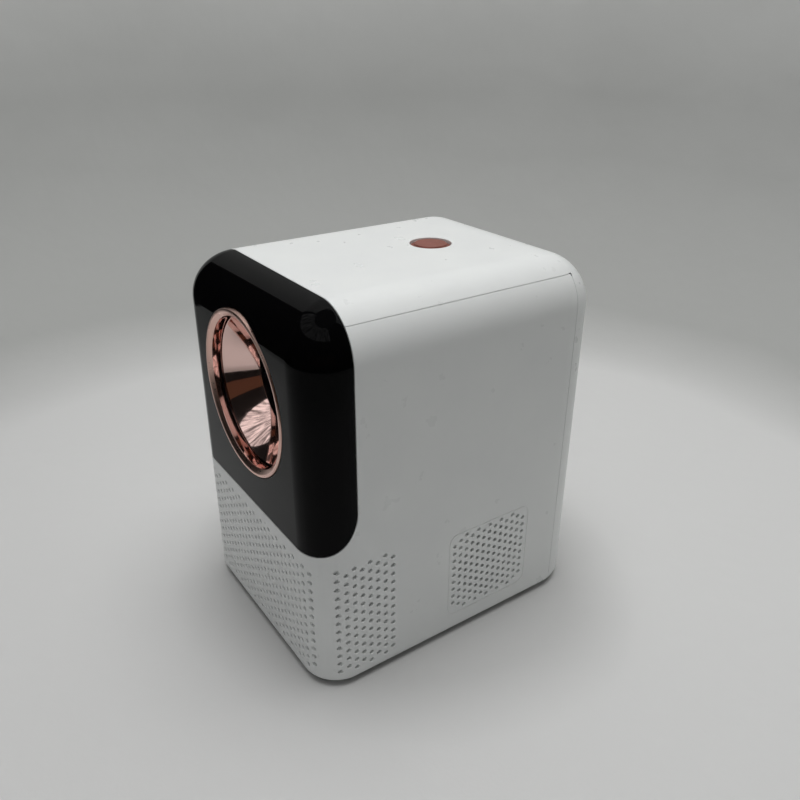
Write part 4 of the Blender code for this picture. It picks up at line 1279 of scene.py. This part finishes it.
def make_clear_sheet():
    """A clear sheet with concentric Fresnel grooves, as a saw-tooth wave round a vertical axis."""
    look = Look("clear_sheet", (0.9, 0.95, 0.97), 0.04, IOR=1.49, Transmission_Weight=1.0)
    shift = Vector((0, -FRESNEL_Y * MM, 0))
    shifted = look.node("ShaderNodeVectorMath", {0: look.place, 1: shift}, operation="ADD")
    inputs = {"Vector": shifted.outputs[0], "Scale": 1 / (FRESNEL_PITCH * MM) / 20, "Distortion": 0.0}
    settings = {"wave_type": "RINGS", "rings_direction": "Z", "wave_profile": "SAW"}
    look.bump(look.node("ShaderNodeTexWave", inputs, **settings).outputs["Fac"], 0.08)
    look.vary_roughness(look.noise(20, 2), 0.02, 0.08)


def make_display_glass():
    look = Look("display_glass", (0.05, 0.06, 0.07), 0.08, IOR=1.52, Coat_Weight=0.5, Coat_Roughness=0.03)
    cells = {"Vector": look.stretched((0.3, 0.3, 0.3)), "Scale": 1.0}
    look.vary_colour(look.node("ShaderNodeTexChecker", cells).outputs["Fac"], (0.09, 0.1, 0.12), 0, 1)


def make_board_laminate():
    """Green solder mask over copper tracks."""
    look = Look("board_laminate", (0.015, 0.12, 0.05), 0.35, IOR=1.5)
    inputs = {"Vector": look.stretched((1, 1, 1)), "Scale": 0.35, "Randomness": 1.0}
    tracks = look.node("ShaderNodeTexVoronoi", inputs, distance="CHEBYCHEV", feature="DISTANCE_TO_EDGE")
    look.vary_colour(tracks.outputs["Distance"], (0.03, 0.2, 0.09), 0.04, 0.06)
    look.bump(tracks.outputs["Distance"], 0.03)


def make_filter_foam():
    look = Look("filter_foam", (0.02, 0.02, 0.021), 0.95)
    cells = look.node("ShaderNodeTexVoronoi", {"Vector": look.stretched((0.8, 0.8, 0.8)), "Scale": 1.0})
    look.bump(cells.outputs["Distance"], 0.5)
    look.vary_colour(cells.outputs["Distance"], (0.06, 0.06, 0.062), 0.2, 0.7)


# ---------------------------------------------------------------- stage, light and camera

CAMERA_AT = (272.6, -183.9, 261.0)
CAMERA_AZIMUTH = 55.33
CAMERA_ELEVATION = 26.48
CAMERA_ROLL = 0.18
CAMERA_LENS = 34.71
FLOOR_R = 340  # the flat part of the floor
SWEEP_R = 190  # of the curve between floor and wall
WALL_TOP = 1500
CLOTH_AND_SHADOW_TONES = (  # colours by radius; the darker first tone, inside about 115 mm, is a painted shadow round the object
    (115, (0.555, 0.555, 0.55)),
    (150, (0.68, 0.68, 0.675)),
    (330, (0.67, 0.67, 0.665)),
    (440, (0.42, 0.425, 0.415)),
    (570, (0.44, 0.445, 0.435)),
    (630, (0.55, 0.555, 0.545)),
)
CLOTH_WAVE = 60  # how far the tones wander
ROOM_R = 430
ROOM_ARC = (-162, 46)
ROOM_HEIGHTS = (22, 1300)
SIDEBOARD_ARC = (-65, -10)
SIDEBOARD_HEIGHTS = (115, 260)
WINDOW_ARC = (-155, -15)
WINDOW_HEIGHTS = (500, 1250)
WINDOW_STRENGTH = 1.1
CEILING_AT = (60, 60, 1400)
CEILING_AIM = (0, 0, 80)
CEILING_SIZE = 900
CEILING_POWER = 12.3
AMBIENT = 0.12


def make_camera():
    data = bpy.data.cameras.new("camera")
    data.lens = CAMERA_LENS
    data.sensor_width = 36.0
    data.clip_start = 0.01
    camera = bpy.data.objects.new("camera", data)
    look = Euler((math.radians(90 - CAMERA_ELEVATION), 0, math.radians(CAMERA_AZIMUTH))).to_matrix()
    roll = Matrix.Rotation(math.radians(CAMERA_ROLL), 3, "Z")
    camera.matrix_world = Matrix.Translation(Vector(CAMERA_AT) * MM) @ (look @ roll).to_4x4()
    bpy.context.scene.collection.objects.link(camera)
    bpy.context.scene.camera = camera


def cloth():
    """Pale cloth with a painted shadow round the object, and a little darker on the wall."""
    look = Look("backdrop_cloth", CLOTH_AND_SHADOW_TONES[0][1], 0.85)
    reach = look.node("ShaderNodeVectorMath", {0: look.place}, operation="LENGTH").outputs["Value"]
    wave = look.node("ShaderNodeMath", {0: look.noise(260, 2), 1: CLOTH_WAVE * MM}, operation="MULTIPLY")
    edge = look.node("ShaderNodeMath", {0: reach, 1: wave.outputs[0]}, operation="ADD").outputs[0]
    # The ramp paints a shadow on the floor round the object: darker cloth near the middle, pale further out.
    ramp = look.node("ShaderNodeValToRGB", {0: edge})
    stops = ramp.color_ramp.elements
    stops.remove(stops[1])
    stops[0].position, stops[0].color = CLOTH_AND_SHADOW_TONES[0][0] * MM, (*CLOTH_AND_SHADOW_TONES[0][1], 1)
    for radius, colour in CLOTH_AND_SHADOW_TONES[1:]:
        stops.new(radius * MM).color = (*colour, 1)
    look.feed(ramp.outputs["Color"], "Base Color")
    look.bump(look.noise(70, 3), 2.0)
    look.bump(look.noise(1.5, 4), 0.05)
    return look.material


def make_backdrop():
    """A pale floor that sweeps up into a round, darker wall."""
    profile = [(1, 0), (FLOOR_R, 0)]
    for degrees in range(5, 91, 5):
        angle = math.radians(degrees)
        profile.append((FLOOR_R + SWEEP_R * math.sin(angle), SWEEP_R * (1 - math.cos(angle))))
    profile.append((FLOOR_R + SWEEP_R, WALL_TOP))
    bm = bmesh.new()
    loops = [[bm.verts.new((x, y, height)) for x, y in circle(radius, 96)] for radius, height in profile]
    skin(bm, loops)
    bm.faces.new(loops[0])
    sweep = make("backdrop", bm)
    sweep.data.materials.append(cloth())


def screen(name, radius, sweep, heights, look):
    """A sheet bent round the Z axis, between two angles and two heights. The camera doesn't see it."""
    rim = arc((0, 0), radius, *sweep, 48)
    bm = bmesh.new()
    low, high = [[bm.verts.new((x, y, z)) for x, y in rim] for z in heights]
    for i in range(len(low) - 1):
        bm.faces.new((low[i], low[i + 1], high[i + 1], high[i]))
    sheet = make(name, bm)
    sheet.data.materials.append(look.material)
    sheet.visible_camera = False
    sheet.visible_shadow = False
    return sheet


def window_look():
    """Light with streaks, as through a curtain."""
    look = Look("window_light", (0, 0, 0), 1.0, Emission_Strength=WINDOW_STRENGTH)
    look.feed(look.spread(look.noise((25, 25, 260), 3), 0.4, 0.6, 0.15, 1.0), "Emission Color")
    return look


def make_screens():
    """The room on the camera's side: walls, a brown sideboard and a bright window high up.

    Reflections see a dark wall, and soft light comes off a grey one just behind it.
    """
    dark = Look("room_dark", (0.006, 0.006, 0.006), 0.9)
    brown = Look("room_brown", (0.12, 0.056, 0.03), 0.9)
    grey = Look("room_grey", (0.25, 0.25, 0.25), 0.9)
    screen("dark_wall", ROOM_R, ROOM_ARC, ROOM_HEIGHTS, dark).visible_diffuse = False
    screen("grey_wall", ROOM_R + 5, ROOM_ARC, ROOM_HEIGHTS, grey).visible_glossy = False
    screen("sideboard", ROOM_R - 5, SIDEBOARD_ARC, SIDEBOARD_HEIGHTS, brown).visible_diffuse = False
    screen("window", ROOM_R - 20, WINDOW_ARC, WINDOW_HEIGHTS, window_look())


def make_lights():
    """A wide soft light overhead, which polished parts don't reflect, and a weak ambient light."""
    data = bpy.data.lights.new("ceiling", "AREA")
    data.size = CEILING_SIZE * MM
    data.energy = CEILING_POWER
    ceiling = bpy.data.objects.new("ceiling", data)
    ceiling.location = Vector(CEILING_AT) * MM
    ceiling.rotation_euler = (Vector(CEILING_AIM) - Vector(CEILING_AT)).to_track_quat("-Z", "Y").to_euler()
    ceiling.visible_glossy = False
    bpy.context.scene.collection.objects.link(ceiling)
    world = bpy.data.worlds.new("studio")
    world.use_nodes = True
    background = world.node_tree.nodes["Background"].inputs
    background["Color"].default_value = (0.85, 0.87, 0.88, 1)
    background["Strength"].default_value = AMBIENT
    bpy.context.scene.world = world
    bpy.context.scene.view_settings.view_transform = "Standard"


# ---------------------------------------------------------------- whole scene


def make_pieces():
    """Every fine piece, in the order of the sections above."""
    for make_piece in (make_band, make_shell, make_cover, make_ring, make_cone, make_barrel, make_button):
        make_piece()
    for make_piece in (make_feet, make_base_plate, make_screws, make_insert):
        make_piece()
    make_gear("focus_ring", 0, 43, 29.4, (30.0, 30.3))
    make_gear("focus_wheel", round_box("focus_wheel")[2].x, 17, 1.9, (4.0, 9.0))
    make_lens_mount()
    for make_piece in (make_port_plate, make_inlet, make_hdmi, make_usb, make_jack, make_eye):
        make_piece()
    make_fan("side_fan", "X")
    make_fan("rear_fan", "Y")
    make_speaker("left")
    make_speaker("right")
    for make_piece in (make_condenser, make_capacitor, make_transformer, make_chips):
        make_piece()


make_camera()
make_backdrop()
make_screens()
make_lights()
make_case_looks()
make_inner_looks()
for node, obj in NODES.items():
    cover_with(obj, LOOKS[SLOT_OF[node]])
make_pieces()
